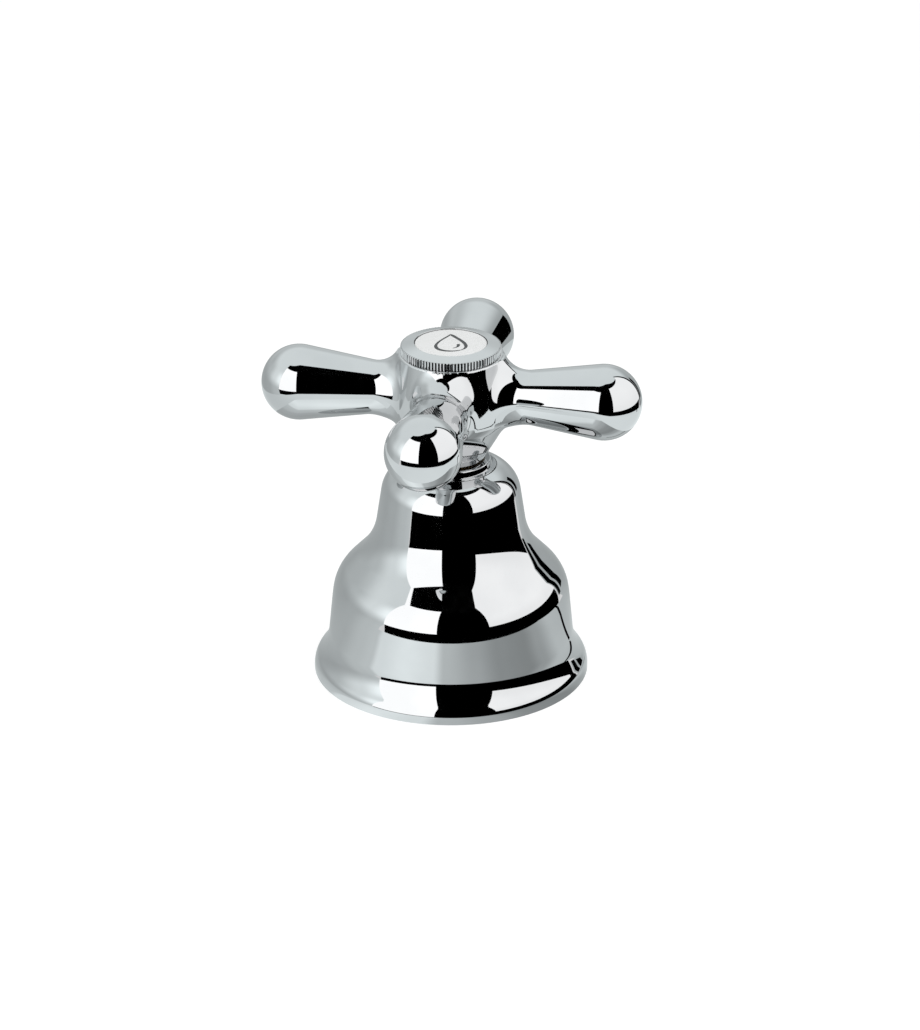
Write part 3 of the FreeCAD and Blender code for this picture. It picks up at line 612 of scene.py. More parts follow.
def evaluated(thing: bpy.types.Object) -> bpy.types.Mesh:
    """A new mesh of an object as its modifiers leave it."""
    graph = bpy.context.evaluated_depsgraph_get()
    return bpy.data.meshes.new_from_object(thing.evaluated_get(graph))


def mesh_points(mesh: bpy.types.Mesh) -> np.ndarray:
    """A mesh's points as rows, in millimetres.

    Args:
        mesh: the mesh.

    Returns:
        The points.
    """
    flat = np.empty(len(mesh.vertices) * 3)
    mesh.vertices.foreach_get("co", flat)
    return flat.reshape(-1, 3) / MM


def lathe(name: str, corners: Sequence[Corner], turns: int,
          step: float = 1.5) -> bpy.types.Object:
    """Turn a closed outline about the Z axis into a closed mesh with exact normals.

    Args:
        name: the object's name.
        corners: the outline in millimetres, anticlockwise in the half plane right of the axis.
        turns: number of steps round the axis.
        step: largest turn of one span of an arc, in degrees.

    Returns:
        The new object.
    """
    spans = [s for s in outline_spans(corners, step) if max(s.start[0], s.end[0]) > TINY]
    angles = np.arange(turns) * math.tau / turns
    cosine, sine = np.cos(angles), np.sin(angles)
    points: list[Triple] = []
    rings: dict[Pair, list[int]] = {}

    def ring_at(place: Pair) -> list[int]:
        """The points round the axis at a place, made the first time; one point on the axis.

        Args:
            place: distance from the axis, and height.

        Returns:
            One point's number for each step round.
        """
        key = (round(place[0], 7), round(place[1], 7))
        if key not in rings:
            base = len(points)
            if key[0] < TINY:
                points.append((0.0, 0.0, place[1] * MM))
                rings[key] = [base] * turns
            else:
                points.extend((place[0] * MM * c, place[0] * MM * s, place[1] * MM)
                              for c, s in zip(cosine, sine))
                rings[key] = list(range(base, base + turns))
        return rings[key]

    faces: list[tuple[int, ...]] = []
    normals: list[Triple] = []
    for span in spans:
        low, high = ring_at(span.start), ring_at(span.end)
        for i in range(turns):
            j = (i + 1) % turns
            ring = [(low[i], span.start_normal, i), (low[j], span.start_normal, j),
                    (high[j], span.end_normal, j), (high[i], span.end_normal, i)]
            kept = [c for n, c in enumerate(ring) if c[0] != ring[n - 1][0]]
            faces.append(tuple(c[0] for c in kept))
            normals += [(c[1][0] * cosine[c[2]], c[1][0] * sine[c[2]], c[1][1]) for c in kept]
    mesh = bpy.data.meshes.new(name)
    mesh.from_pydata(points, [], faces)
    mesh.normals_split_custom_set(normals)
    return mesh_object(name, mesh)


class SubAssembly(ABC):
    """A visible piece that rides on one body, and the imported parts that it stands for."""

    body: Body
    finish: Finish
    slot: Slot
    nodes: tuple[str, ...]

    @abstractmethod
    def build(self) -> bpy.types.Object:
        """Build the piece."""

    def install(self) -> None:
        """Build the piece, dress it and tie it to the frame."""
        piece = self.build()
        self.finish.dress(piece)
        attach(piece, self.body.value)
        if self.nodes:
            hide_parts(*self.nodes)
        log.info("%s: %d faces on %s", piece.name, len(piece.data.polygons), self.body.value)


# ----- Bell and collar -----

@dataclass
class Bell(SubAssembly):
    """The fixed cover: flared foot, skirt, shoulder, cove, neck and domed top."""

    foot_radius: float = 29.0
    bulge_height: float = 2.1
    bulge_round: float = 4.0
    flare_radius: float = 26.11
    flare_height: float = 5.8
    flare_round: float = 10.0
    girth_radius: float = 24.99
    girth_height: float = 17.2
    girth_round: float = 30.0
    shoulder_radius: float = 24.33
    shoulder_height: float = 21.23
    shoulder_round: float = 9.65
    cove_radius: float = 16.30
    cove_height: float = 29.55
    cove_round: float = 14.5
    dome_radius: float = 13.97
    dome_height: float = 44.96
    dome_round: float = 7.0
    seat_radius: float = 9.55
    top_height: float = 46.5
    seat_height: float = 45.9
    crown_underside: float = 43.3
    wall: float = 1.8
    rim_inner_radius: float = 24.43
    hole_radius: float = 7.15
    edge_round: float = 0.1
    body = Body.FIXED
    finish = CHROME
    slot = Slot.CHROME
    nodes = ("bell",)

    def corners(self) -> list[Corner]:
        """The bell's outline, up its outside and down its inside.

        Returns:
            The corners.
        """
        wall, half = self.wall, self.wall / 2
        return [
            Corner(self.rim_inner_radius, 0),
            Corner(self.foot_radius, 0),
            Corner(self.foot_radius, self.bulge_height, self.bulge_round),
            Corner(self.flare_radius, self.flare_height, self.flare_round),
            Corner(self.girth_radius, self.girth_height, self.girth_round),
            Corner(self.shoulder_radius, self.shoulder_height, self.shoulder_round),
            Corner(self.cove_radius, self.cove_height, self.cove_round),
            Corner(self.dome_radius, self.dome_height, self.dome_round),
            Corner(self.seat_radius, self.top_height, self.edge_round),
            Corner(self.seat_radius, self.seat_height),
            Corner(self.hole_radius, self.seat_height),
            Corner(self.hole_radius, self.crown_underside),
            Corner(self.dome_radius - wall, self.crown_underside),
            Corner(self.cove_radius - wall, self.cove_height - half),
            Corner(self.shoulder_radius - wall, self.shoulder_height - half),
        ]

    def build(self) -> bpy.types.Object:
        """Turn the bell."""
        return lathe("bell_cover", self.corners(), turns=345, step=1.2)


@dataclass
class Collar(SubAssembly):
    """The low ring nut in the bell's seat."""

    bore_radius: float = 7.0
    flange_radius: float = 9.43
    flange_base: float = 46.2
    flange_top: float = 46.6
    wall_radius: float = 8.5
    lip_radius: float = 8.28
    top: float = 48.0
    edge_round: float = 0.25
    body = Body.FIXED
    finish = CHROME
    slot = Slot.CHROME
    nodes = ("collar_ring",)

    def build(self) -> bpy.types.Object:
        """Turn the collar.

        Returns:
            The collar.
        """
        return lathe("collar_nut", [
            Corner(self.bore_radius, self.flange_base),
            Corner(self.flange_radius, self.flange_base),
            Corner(self.flange_radius, self.flange_top, self.edge_round / 2),
            Corner(self.wall_radius, self.flange_top, self.edge_round / 2),
            Corner(self.lip_radius, self.top, self.edge_round),
            Corner(self.bore_radius, self.top, self.edge_round),
        ], turns=192, step=6)


# ----- Handle -----

@dataclass(frozen=True)
class TurnedField:
    """Signed distance of a convex turned outline, with its direction, in millimetres."""

    corners: tuple[Corner, ...]
    step: float = 10.0

    def measure(self, across: np.ndarray, up: np.ndarray) -> tuple[np.ndarray, np.ndarray]:
        """Distance from the outline, and its direction.

        Args:
            across: distances from the axis.
            up: heights.

        Returns:
            Signed distances, and directions as rows of (across, up).
        """
        arcs, runs = outline_parts(self.corners, self.step)
        point = np.stack([across, up], axis=-1)
        best = np.full(across.shape, np.inf)
        signed, direction = np.zeros(across.shape), np.zeros(point.shape)
        for start, end in runs:
            length = float(np.hypot(*(end - start)))
            if max(start[0], end[0]) < TINY or length < TINY:
                continue
            along, normal = (end - start) / length, np.array(outward(end - start))
            reach = np.clip((point - start) @ along, 0, length)
            gap = point - (start + reach[..., None] * along)
            distance = np.hypot(gap[..., 0], gap[..., 1])
            side = gap @ normal
            beside = (reach > 0) & (reach < length)
            value = np.where(beside, side, np.where(side >= 0, distance, -distance))
            safe = np.where(distance > TINY, distance, 1)[..., None]
            away = np.where(beside[..., None], normal, gap / safe * np.sign(value)[..., None])
            nearer = distance < best - TINY / 1000
            best = np.where(nearer, distance, best)
            signed = np.where(nearer, value, signed)
            direction = np.where(nearer[..., None], away, direction)
        for corner, arc in zip(self.corners, arcs):
            if not arc:
                continue
            centre = np.array(arc[0].start) - np.array(arc[0].start_normal) * corner.round
            offset = point - centre
            distance = np.hypot(offset[..., 0], offset[..., 1])
            a, b = np.array(arc[0].start) - centre, np.array(arc[-1].end) - centre
            within = ((a[0] * offset[..., 1] - a[1] * offset[..., 0] >= 0)
                      & (offset[..., 0] * b[1] - offset[..., 1] * b[0] >= 0))
            value = distance - corner.round
            nearer = within & (np.abs(value) < best + TINY)
            best = np.where(nearer, np.abs(value), best)
            signed = np.where(nearer, value, signed)
            away = offset / np.where(distance > TINY, distance, 1)[..., None]
            direction = np.where(nearer[..., None], away, direction)
        return signed, direction


# Two surfaces that run more nearly side by side than this are blended as if they met at it.
COSINE_LIMIT = 0.95


def blended(first: tuple[np.ndarray, np.ndarray], second: tuple[np.ndarray, np.ndarray],
            radius: float) -> np.ndarray:
    """Distance of two solids joined by the fillet that a rolling ball leaves.

    Args:
        first: signed distances and unit directions of one solid.
        second: the same for the other.
        radius: the ball's radius.

    Returns:
        Signed distances of the joined solid.
    """
    (a, away_a), (b, away_b) = first, second
    cosine = np.einsum("...k,...k->...", away_a, away_b)
    cosine = np.clip(cosine, -COSINE_LIMIT, COSINE_LIMIT)
    u, v = radius - a, radius - b
    apart = np.sqrt(np.maximum(u * u + v * v - 2 * u * v * cosine, 1e-12) / (1 - cosine ** 2))
    rolling = (u > v * cosine) & (v > u * cosine) & (u > 0) & (v > 0)
    return np.where(rolling, radius - apart, np.minimum(a, b))


@dataclass
class CrossHandle(SubAssembly):
    """One casting: an inverted-cone hub with four ball-ended arms blended into it."""

    hub_base: float = 48.2
    neck_radius: float = 6.9
    cone_height: float = 9.5
    cone_widening: float = 5.5
    belly_round: float = 4.0
    hub_taper: float = 1.5
    hub_top: float = 71.5
    edge_round: float = 0.3
    arm_height: float = 62.7
    arm_reach: float = 32.05
    ball_radius: float = 7.93
    waist_reach: float = 15.6
    waist_radius: float = 5.55
    blend_radius: float = 5.5
    arm_count: int = 4
    socket_radius: float = 5.6
    socket_top: float = 61.1
    screw_hole_radius: float = 2.8
    well_radius: float = 8.0
    well_floor: float = 63.5
    overcut: float = 1.0
    tip_share: float = 0.55
    voxel: float = 0.36
    passes: int = 9
    relaxed: float = 0.5
    least_steepness: float = 0.25
    skin: float = 0.02
    facing: float = 0.75
    body = Body.TURNING
    finish = CHROME
    slot = Slot.CHROME
    nodes = ("cross_handle",)

    def hub_corners(self) -> tuple[Corner, ...]:
        """The hub's outline.

        Returns:
            The corners.
        """
        belly = self.neck_radius + self.cone_widening
        return (
            Corner(0, self.hub_base),
            Corner(self.neck_radius, self.hub_base, self.edge_round),
            Corner(belly, self.hub_base + self.cone_height, self.belly_round),
            Corner(belly - self.hub_taper, self.hub_top, self.edge_round),
            Corner(0, self.hub_top),
        )

    def arm_slope(self) -> Triple:
        """The arm's side, from its waist to where it touches the ball.

        Returns:
            Its lean in radians, and the reach and the radius where it touches.
        """
        reach, rise = self.arm_reach - self.waist_reach, -self.waist_radius
        lean = math.asin(self.ball_radius / math.hypot(reach, rise)) + math.atan2(rise, reach)
        return (lean, self.arm_reach - math.sin(lean) * self.ball_radius,
                math.cos(lean) * self.ball_radius)

    def arm_field(self, along: np.ndarray, aside: np.ndarray,
                  up: np.ndarray) -> tuple[np.ndarray, np.ndarray]:
        """Signed distance of the two arms that lie along one axis.

        Args:
            along: coordinate along the arms.
            aside: coordinate across them.
            up: height above their axis.

        Returns:
            Signed distances, and directions as rows of (along, aside, up).
        """
        lean, touch_reach, touch_radius = self.arm_slope()
        reach = np.abs(along)
        radial = np.maximum(np.hypot(aside, up), TINY)
        past = (reach - touch_reach) * math.cos(lean) + (radial - touch_radius) * math.sin(lean)
        side = -(reach - touch_reach) * math.sin(lean) + (radial - touch_radius) * math.cos(lean)
        from_ball = np.maximum(np.hypot(reach - self.arm_reach, radial), TINY)
        on_ball = past > 0
        value = np.where(on_ball, from_ball - self.ball_radius, side)
        lengthwise = np.where(on_ball, (reach - self.arm_reach) / from_ball, -math.sin(lean))
        outwards = np.where(on_ball, radial / from_ball, math.cos(lean))
        return value, np.stack([lengthwise * np.sign(along), outwards * aside / radial,
                                outwards * up / radial], axis=-1)

    def distance(self, points: np.ndarray) -> np.ndarray:
        """Signed distance of the whole casting, in millimetres.

        Args:
            points: rows of (x, y, z).

        Returns:
            The distances.
        """
        x, y, z = points[:, 0], points[:, 1], points[:, 2]
        radial = np.maximum(np.hypot(x, y), TINY)
        value, slope = TurnedField(self.hub_corners()).measure(radial, z)
        hub = (value, np.stack([slope[:, 0] * x / radial, slope[:, 0] * y / radial,
                                slope[:, 1]], axis=-1))
        rise = z - self.arm_height
        right = self.arm_field(x, y, rise)
        deep = self.arm_field(y, x, rise)
        deep = (deep[0], deep[1][:, [1, 0, 2]])
        return np.minimum(blended(hub, right, self.blend_radius),
                          blended(hub, deep, self.blend_radius))

    def gradient(self, points: np.ndarray, reach: float = 1e-3) -> np.ndarray:
        """Slope of the distance, from its differences over a short reach.

        Args:
            points: rows of (x, y, z).
            reach: how far to both sides of a point to look.

        Returns:
            The slopes, as rows.
        """
        slope = np.empty_like(points)
        for axis in range(3):
            shift = np.zeros(3)
            shift[axis] = reach
            ahead, behind = self.distance(points + shift), self.distance(points - shift)
            slope[:, axis] = (ahead - behind) / (2 * reach)
        return slope

    def arm_blank(self, number: int) -> bpy.types.Object:
        """One arm without its blend, laid along its own direction.

        Args:
            number: the arm's number, counted from +X.

        Returns:
            The arm.
        """
        lean, touch_reach, touch_radius = self.arm_slope()
        root = touch_radius - touch_reach * math.tan(lean)
        widest = touch_radius + (self.arm_reach - touch_reach) * math.tan(lean)
        arm = lathe("arm_blank", [
            Corner(0, 0),
            Corner(root, 0),
            Corner(widest, self.arm_reach),
            Corner(self.ball_radius, self.arm_reach + self.ball_radius * self.tip_share),
            Corner(0, self.arm_reach + self.ball_radius),
        ], turns=48, step=10)
        lie = Matrix.Rotation(math.pi / 2, 4, "Y")
        swing = Matrix.Rotation(math.tau * number / self.arm_count, 4, "Z")
        arm.data.transform(Matrix.Translation((0, 0, self.arm_height * MM)) @ swing @ lie)
        return arm

    def even_blank(self) -> bpy.types.Mesh:
        """Even quads over the hub and the arms, before they are drawn onto the casting.

        Returns:
            The mesh.
        """
        parts = [lathe("hub_blank", self.hub_corners(), turns=96, step=10)]
        parts += [self.arm_blank(number) for number in range(self.arm_count)]
        joined = bmesh.new()
        for part in parts:
            joined.from_mesh(part.data)
            bpy.data.objects.remove(part)
        mesh = bpy.data.meshes.new("handle_blank")
        joined.to_mesh(mesh)
        joined.free()
        blank = mesh_object("handle_blank", mesh)
        remesh = blank.modifiers.new("Even", "REMESH")
        remesh.mode = "VOXEL"
        remesh.voxel_size = self.voxel * MM
        even = evaluated(blank)
        bpy.data.objects.remove(blank)
        return even

    def drawn(self, mesh: bpy.types.Mesh) -> None:
        """Draw an even mesh onto the casting's surface, keeping its points well spread.

        Args:
            mesh: the mesh, which is changed.
        """
        points = mesh_points(mesh)
        edges = np.empty(len(mesh.edges) * 2, dtype=np.int64)
        mesh.edges.foreach_get("vertices", edges)
        edges = edges.reshape(-1, 2)
        degree = np.bincount(edges.ravel(), minlength=len(points))[:, None]
        for turn in range(self.passes):
            if 0 < turn < self.passes - 2:
                total = np.zeros_like(points)
                np.add.at(total, edges[:, 0], points[edges[:, 1]])
                np.add.at(total, edges[:, 1], points[edges[:, 0]])
                points += self.relaxed * (total / degree - points)
            slope = self.gradient(points)
            steep = np.maximum(np.einsum("ij,ij->i", slope, slope), self.least_steepness)
            points -= (self.distance(points) / steep)[:, None] * slope
        mesh.vertices.foreach_set("co", (points * MM).ravel())
        mesh.update()

    def drilled(self, casting: bpy.types.Object) -> None:
        """Cut the socket, the screw hole and the well from the casting.

        Args:
            casting: the object, whose mesh is replaced.
        """
        over = self.overcut
        tool = lathe("drill", [
            Corner(0, self.hub_base - over),
            Corner(self.socket_radius, self.hub_base - over),
            Corner(self.socket_radius, self.socket_top),
            Corner(self.screw_hole_radius, self.socket_top),
            Corner(self.screw_hole_radius, self.well_floor),
            Corner(self.well_radius, self.well_floor),
            Corner(self.well_radius, self.hub_top + over),
            Corner(0, self.hub_top + over),
        ], turns=96)
        cut = casting.modifiers.new("Bores", "BOOLEAN")
        cut.operation, cut.solver, cut.object = "DIFFERENCE", "EXACT", tool
        bored = evaluated(casting)
        casting.modifiers.clear()
        casting.data = bored
        bpy.data.objects.remove(tool)

    def shade(self, mesh: bpy.types.Mesh) -> None:
        """Give the outer faces the casting's exact normals, and the cut faces their own.

        Args:
            mesh: the finished mesh.
        """
        points = mesh_points(mesh)
        slope = self.gradient(points, self.skin)
        exact = slope / np.maximum(np.linalg.norm(slope, axis=1), TINY)[:, None]
        near = np.abs(self.distance(points)) < self.skin
        mesh.polygons.foreach_set("use_smooth", [True] * len(mesh.polygons))
        normals: list[Triple] = []
        for face in mesh.polygons:
            own = np.array(face.normal)
            normals += [tuple(exact[v] if near[v] and exact[v] @ own > self.facing else own)
                        for v in face.vertices]
        mesh.normals_split_custom_set(normals)

    def build(self) -> bpy.types.Object:
        """Cast, draw, drill and shade the handle.

        Returns:
            The handle.
        """
        mesh = self.even_blank()
        self.drawn(mesh)
        mesh.name = "handle_casting"
        casting = mesh_object("handle_casting", mesh)
        self.drilled(casting)
        self.shade(casting.data)
        return casting


@dataclass
class IndexRing(SubAssembly):
    """The serrated ring that holds the index disc."""

    rim_radius: float = 10.45
    base: float = 71.5
    edge_top: float = 73.12
    top: float = 73.82
    edge_break: float = 0.15
    lip_round: float = 0.08
    recess_radius: float = 7.6
    recess_floor: float = 72.24
    spigot_radius: float = 7.95
    spigot_wall: float = 1.2
    spigot_base: float = 68.3
    floor_underside: float = 71.24
    notches: int = 96
    notch_depth: float = 0.34
    tooth_share: float = 0.3
    steps_per_notch: int = 8
    bevel_margins: Pair = (0.42, 0.62)
    body = Body.TURNING
    finish = KNURLED
    slot = Slot.CHROME
    nodes = ("index_ring",)

    def on_bevel(self, margin: float) -> Corner:
        """A point on the bevel, at a distance inside the rim that the notches don't reach."""
        slope = (self.top - self.edge_top) / (self.rim_radius - self.recess_radius)
        return Corner(self.rim_radius - margin, self.edge_top + slope * margin)

    def blank(self) -> bpy.types.Object:
        """Turn the ring with a plain rim.

        Returns:
            The ring.
        """
        inner = self.spigot_radius - self.spigot_wall
        return lathe("index_bezel", [
            Corner(inner, self.spigot_base),
            Corner(self.spigot_radius, self.spigot_base),
            Corner(self.spigot_radius, self.base),
            Corner(self.rim_radius, self.base, self.edge_break),
            Corner(self.rim_radius, self.edge_top, self.edge_break),
            *(self.on_bevel(margin) for margin in self.bevel_margins),
            Corner(self.recess_radius, self.top, self.lip_round),
            Corner(self.recess_radius, self.recess_floor),
            Corner(0, self.recess_floor),
            Corner(0, self.floor_underside),
            Corner(inner, self.floor_underside),
        ], turns=self.notches * self.steps_per_notch, step=15)

    def serration_tree(self) -> bpy.types.NodeTree:
        """Nodes that press V notches into a rim, evenly round the axis.

        Returns:
            The tree, with its sizes as named inputs.
        """
        tree = bpy.data.node_groups.new("Serration", "GeometryNodeTree")
        kinds = {"Geometry": "Geometry", "Notches": "Int", "Depth": "Float",
                 "Tooth Share": "Float", "Rim Radius": "Float", "Material": "Material"}
        for name, kind in kinds.items():
            tree.interface.new_socket(name, in_out="INPUT", socket_type="NodeSocket" + kind)
        tree.interface.new_socket("Geometry", in_out="OUTPUT", socket_type="NodeSocketGeometry")
        desk = NodeDesk(tree)
        given = desk.add("NodeGroupInput").outputs
        split = desk.add("ShaderNodeSeparateXYZ")
        desk.feed(split.inputs[0], desk.add("GeometryNodeInputPosition").outputs[0])
        x, y, z = split.outputs
        squares = [desk.sum("MULTIPLY", value, value) for value in (x, y)]
        radius = desk.sum("SQRT", desk.sum("ADD", *squares))
        turn = desk.sum("DIVIDE", desk.sum("ARCTAN2", y, x), math.tau)
        phase = desk.sum("FRACT", desk.sum("MULTIPLY", turn, given["Notches"]))
        slope = desk.sum("ABSOLUTE", desk.sum("MULTIPLY_ADD", phase, 2.0, -1.0))
        tooth = given["Tooth Share"]
        past_tooth = desk.sum("DIVIDE", desk.sum("SUBTRACT", slope, tooth),
                              desk.sum("SUBTRACT", 1.0, tooth))
        depth = desk.sum("MULTIPLY", desk.sum("MAXIMUM", 0.0, past_tooth), given["Depth"])
        cut = desk.sum("MINIMUM", radius, desk.sum("SUBTRACT", given["Rim Radius"], depth))
        ratio = desk.sum("DIVIDE", cut, desk.sum("MAXIMUM", radius, TINY))
        place = desk.add("ShaderNodeCombineXYZ")
        moved = (desk.sum("MULTIPLY", x, ratio), desk.sum("MULTIPLY", y, ratio), z)
        for socket, value in zip(place.inputs, moved):
            desk.feed(socket, value)
        move = desk.add("GeometryNodeSetPosition")
        desk.feed(move.inputs["Geometry"], given["Geometry"])
        desk.feed(move.inputs["Position"], place.outputs[0])
        plain = desk.add("GeometryNodeRealizeInstances")
        desk.feed(plain.inputs[0], move.outputs[0])
        coat = desk.add("GeometryNodeSetMaterial")
        desk.feed(coat.inputs["Geometry"], plain.outputs[0])
        desk.feed(coat.inputs["Material"], given["Material"])
        desk.feed(desk.add("NodeGroupOutput").inputs[0], coat.outputs[0])
        return tree

    def build(self) -> bpy.types.Object:
        """Turn the ring and press its serrations.

        Returns:
            The ring.
        """
        ring = self.blank()
        tree = self.serration_tree()
        modifier = ring.modifiers.new("Serration", "NODES")
        modifier.node_group = tree
        sizes = {"Notches": self.notches, "Depth": self.notch_depth * MM,
                 "Tooth Share": self.tooth_share,
                 "Rim Radius": self.rim_radius * MM, "Material": self.finish.material()}
        for item in tree.interface.items_tree:
            if item.in_out == "INPUT" and item.name in sizes:
                modifier[item.identifier] = sizes[item.name]
        cut = evaluated(ring)
        ring.modifiers.clear()
        ring.data = cut
        return ring


@dataclass
class IndexDisc(SubAssembly):
    """The glazed disc in the ring's recess, slightly domed."""

    radius: float = 7.5
    underside: float = 72.24
    thickness: float = 1.5
    crown: float = 0.12
    edge_round: float = 0.2
    dome_share: float = 0.93
    body = Body.TURNING
    finish = GLAZE
    slot = Slot.PORCELAIN
    nodes = ("index_disc",)

    def dome_round(self) -> float:
        """Radius of the dome's arc."""
        half = self.radius / 2
        return half * self.dome_share / math.tan(math.atan2(self.crown, half) / 2)

    def dome_height(self, across: float) -> float:
        """Height of the dome at a distance from the axis.

        Args:
            across: the distance.

        Returns:
            The height.
        """
        level = self.radius / 2 * (1 - self.dome_share)
        return (self.underside + self.thickness
                - max(across - level, 0.0) ** 2 / (2 * self.dome_round()))

    def build(self) -> bpy.types.Object:
        """Turn the disc, its dome one large arc that is level at the middle.

        Returns:
            The disc.
        """
        top = self.underside + self.thickness
        half = self.radius / 2
        return lathe("index_plate", [
            Corner(0, self.underside),
            Corner(self.radius, self.underside),
            Corner(self.radius, top - self.crown, self.edge_round),
            Corner(half, top, self.dome_round()),
            Corner(0, top),
        ], turns=192, step=0.4)


@dataclass
class DropMark(SubAssembly):
    """A water drop, drawn on the disc with a broad pen and fired into the glaze."""

    disc: IndexDisc
    width: float = 6.2
    length: float = 9.2
    belly_power: float = 1.5
    belly_share: float = 0.70
    pen_angle: float = 35.0
    thin: float = 0.20
    thick: float = 0.78
    turn: float = 10.0
    glint_radius: float = 1.55
    glint_drop: float = 1.55
    glint_span: Pair = (-75.0, 25.0)
    rise: float = 0.015
    bedding: float = 0.03
    samples: int = 180
    ends: Pair = (0.02, 0.995)
    taper: float = 12.0
    body = Body.TURNING
    finish = INK
    slot = Slot.PORCELAIN
    nodes = ()

    def outline(self) -> np.ndarray:
        """The drop's outline, from its tip round and back to it.

        Returns:
            Rows of (x, y).
        """
        swing = np.linspace(*self.ends, self.samples) * math.tau
        across = np.sin(swing) * np.abs(np.sin(swing / 2)) ** self.belly_power
        return np.stack([across * self.width / 2 / self.belly_share,
                         np.cos(swing) * self.length / 2], axis=-1)

    def glint(self) -> np.ndarray:
        """The short curved line inside the drop's belly.

        Returns:
            Rows of (x, y).
        """
        swing = np.radians(np.linspace(*self.glint_span, self.samples // 4))
        return np.stack([np.cos(swing), np.sin(swing)], axis=-1) * self.glint_radius - (
            0, self.glint_drop)

    def pen_line(self, mesh: bmesh.types.BMesh, path: np.ndarray) -> None:
        """Lay one pen stroke on the disc's dome as a thin closed band.

        Args:
            mesh: the mesh to add the band to.
            path: the stroke's middle line, as rows of (x, y).
        """
        along = np.gradient(path, axis=0)
        along /= np.linalg.norm(along, axis=1)[:, None]
        heading = np.arctan2(along[:, 1], along[:, 0]) - math.radians(self.pen_angle)
        share = np.linspace(0, 1, len(path))
        fullness = np.sqrt(np.clip(np.minimum(share, 1 - share) * self.taper, 0, 1))
        half = (self.thin + (self.thick - self.thin) * np.abs(np.sin(heading))) / 2
        half = np.maximum(half * fullness, self.thin / 4)
        aside = np.stack([-along[:, 1], along[:, 0]], axis=-1) * half[:, None]
        swing = math.radians(self.turn)
        level = np.array([[math.cos(swing), math.sin(swing)],
                          [-math.sin(swing), math.cos(swing)]])
        loops = []
        for left, right in zip((path + aside) @ level, (path - aside) @ level):
            tops = [(place, self.disc.dome_height(float(np.hypot(*place))))
                    for place in (left, right)]
            corners = [(*place, height + self.rise) for place, height in tops]
            corners += [(*place, height - self.bedding) for place, height in reversed(tops)]
            loops.append([mesh.verts.new([value * MM for value in corner]) for corner in corners])
        for first, second in zip(loops, loops[1:]):
            for i in range(4):
                j = (i + 1) % 4
                mesh.faces.new((first[i], first[j], second[j], second[i]))
        mesh.faces.new(loops[0])
        mesh.faces.new(loops[-1][::-1])

    def build(self) -> bpy.types.Object:
        """Draw the drop and its glint.

        Returns:
            The mark.
        """
        work = bmesh.new()
        for path in (self.outline(), self.glint()):
            self.pen_line(work, path)
        bmesh.ops.recalc_face_normals(work, faces=work.faces)
        mesh = bpy.data.meshes.new("index_mark")
        work.to_mesh(mesh)
        work.free()
        return mesh_object("index_mark", mesh)


# ----- Studio -----

@dataclass(frozen=True)
class Glow(Finish):
    """A screen's face, whose glow changes smoothly with the height and with the bearing.

    Each band is a height in millimetres, and the glow there: one strength for all bearings,
    or stops.  A face of one side is clear from below.
    """

    name: str
    bands: tuple[tuple[float, float | Stops], ...]
    tint: Triple = WHITE
    one_side: bool = False

    def make(self) -> bpy.types.Material:
        """Build the material.

        Returns:
            The material.
        """
        bench = Bench(self.name)
        split = bench.add("ShaderNodeSeparateXYZ")
        bench.feed(split.inputs[0], bench.space)
        height = bench.sum("DIVIDE", split.outputs["Z"], MM)
        behind = bench.sum("MULTIPLY", split.outputs["Y"], -1.0)
        turn = bench.sum("DEGREES", bench.sum("ARCTAN2", split.outputs["X"], behind))
        levels = [(up, bench.graded(turn, tone) if isinstance(tone, tuple) else tone)
                  for up, tone in self.bands]
        strength = levels[0][1]
        for (low, _), (high, tone) in zip(levels, levels[1:]):
            change = bench.sum("MULTIPLY", bench.spread(height, 0, 1, low, high),
                               bench.sum("SUBTRACT", tone, strength))
            strength = bench.sum("ADD", change, strength)
        glow = bench.add("ShaderNodeEmission")
        glow.inputs["Color"].default_value = (*self.tint, 1)
        bench.feed(glow.inputs["Strength"], strength)
        face = glow.outputs[0]
        if self.one_side:
            both = bench.add("ShaderNodeMixShader")
            bench.feed(both.inputs[0], bench.add("ShaderNodeNewGeometry").outputs["Backfacing"])
            bench.feed(both.inputs[1], face)
            bench.feed(both.inputs[2], bench.add("ShaderNodeBsdfTransparent").outputs[0])
            face = both.outputs[0]
        bench.feed(bench.out.inputs["Surface"], face)
        return bench.material


@dataclass(frozen=True)
class Screen:
    """A strip of card or cloth bent round the tap, seen by the metal and not by the camera.

    Bearings are in degrees from the front, positive to the right.  Each edge is a radius
    and a height, in millimetres.  The near edge's radius grows by the bow towards both ends.
    """

    name: str
    bearings: Pair
    near: Pair
    far: Pair
    bands: tuple[tuple[float, float | Stops], ...]
    lights: bool = False
    one_side: bool = False
    bow: float = 0.0
    bow_power: float = 1.5
    grey: Triple = (0.94, 1.0, 1.006)
    step: float = 3.0

    def build(self) -> bpy.types.Object:
        """Hang the screen.

        Returns:
            The screen's object.
        """
        first, last = self.bearings
        count = math.ceil((last - first) / self.step)
        points: list[Triple] = []
        for i in range(count + 1):
            turn = math.radians(first + (last - first) * i / count)
            grown = self.near[0] + self.bow * abs(2 * i / count - 1) ** self.bow_power
            for radius, height in ((grown, self.near[1]), self.far):
                points.append((radius * MM * math.sin(turn), -radius * MM * math.cos(turn),
                               height * MM))
        faces = [(2 * i, 2 * i + 2, 2 * i + 3, 2 * i + 1) for i in range(count)]
        mesh = bpy.data.meshes.new(self.name)
        mesh.from_pydata(points, [], faces)
        screen = mesh_object(self.name, mesh)
        tint = WHITE if self.lights else self.grey
        Glow(self.name + "_face", self.bands, tint, self.one_side).dress(screen)
        screen.visible_camera = False
        screen.visible_shadow = False
        screen.visible_diffuse = self.lights
        return screen


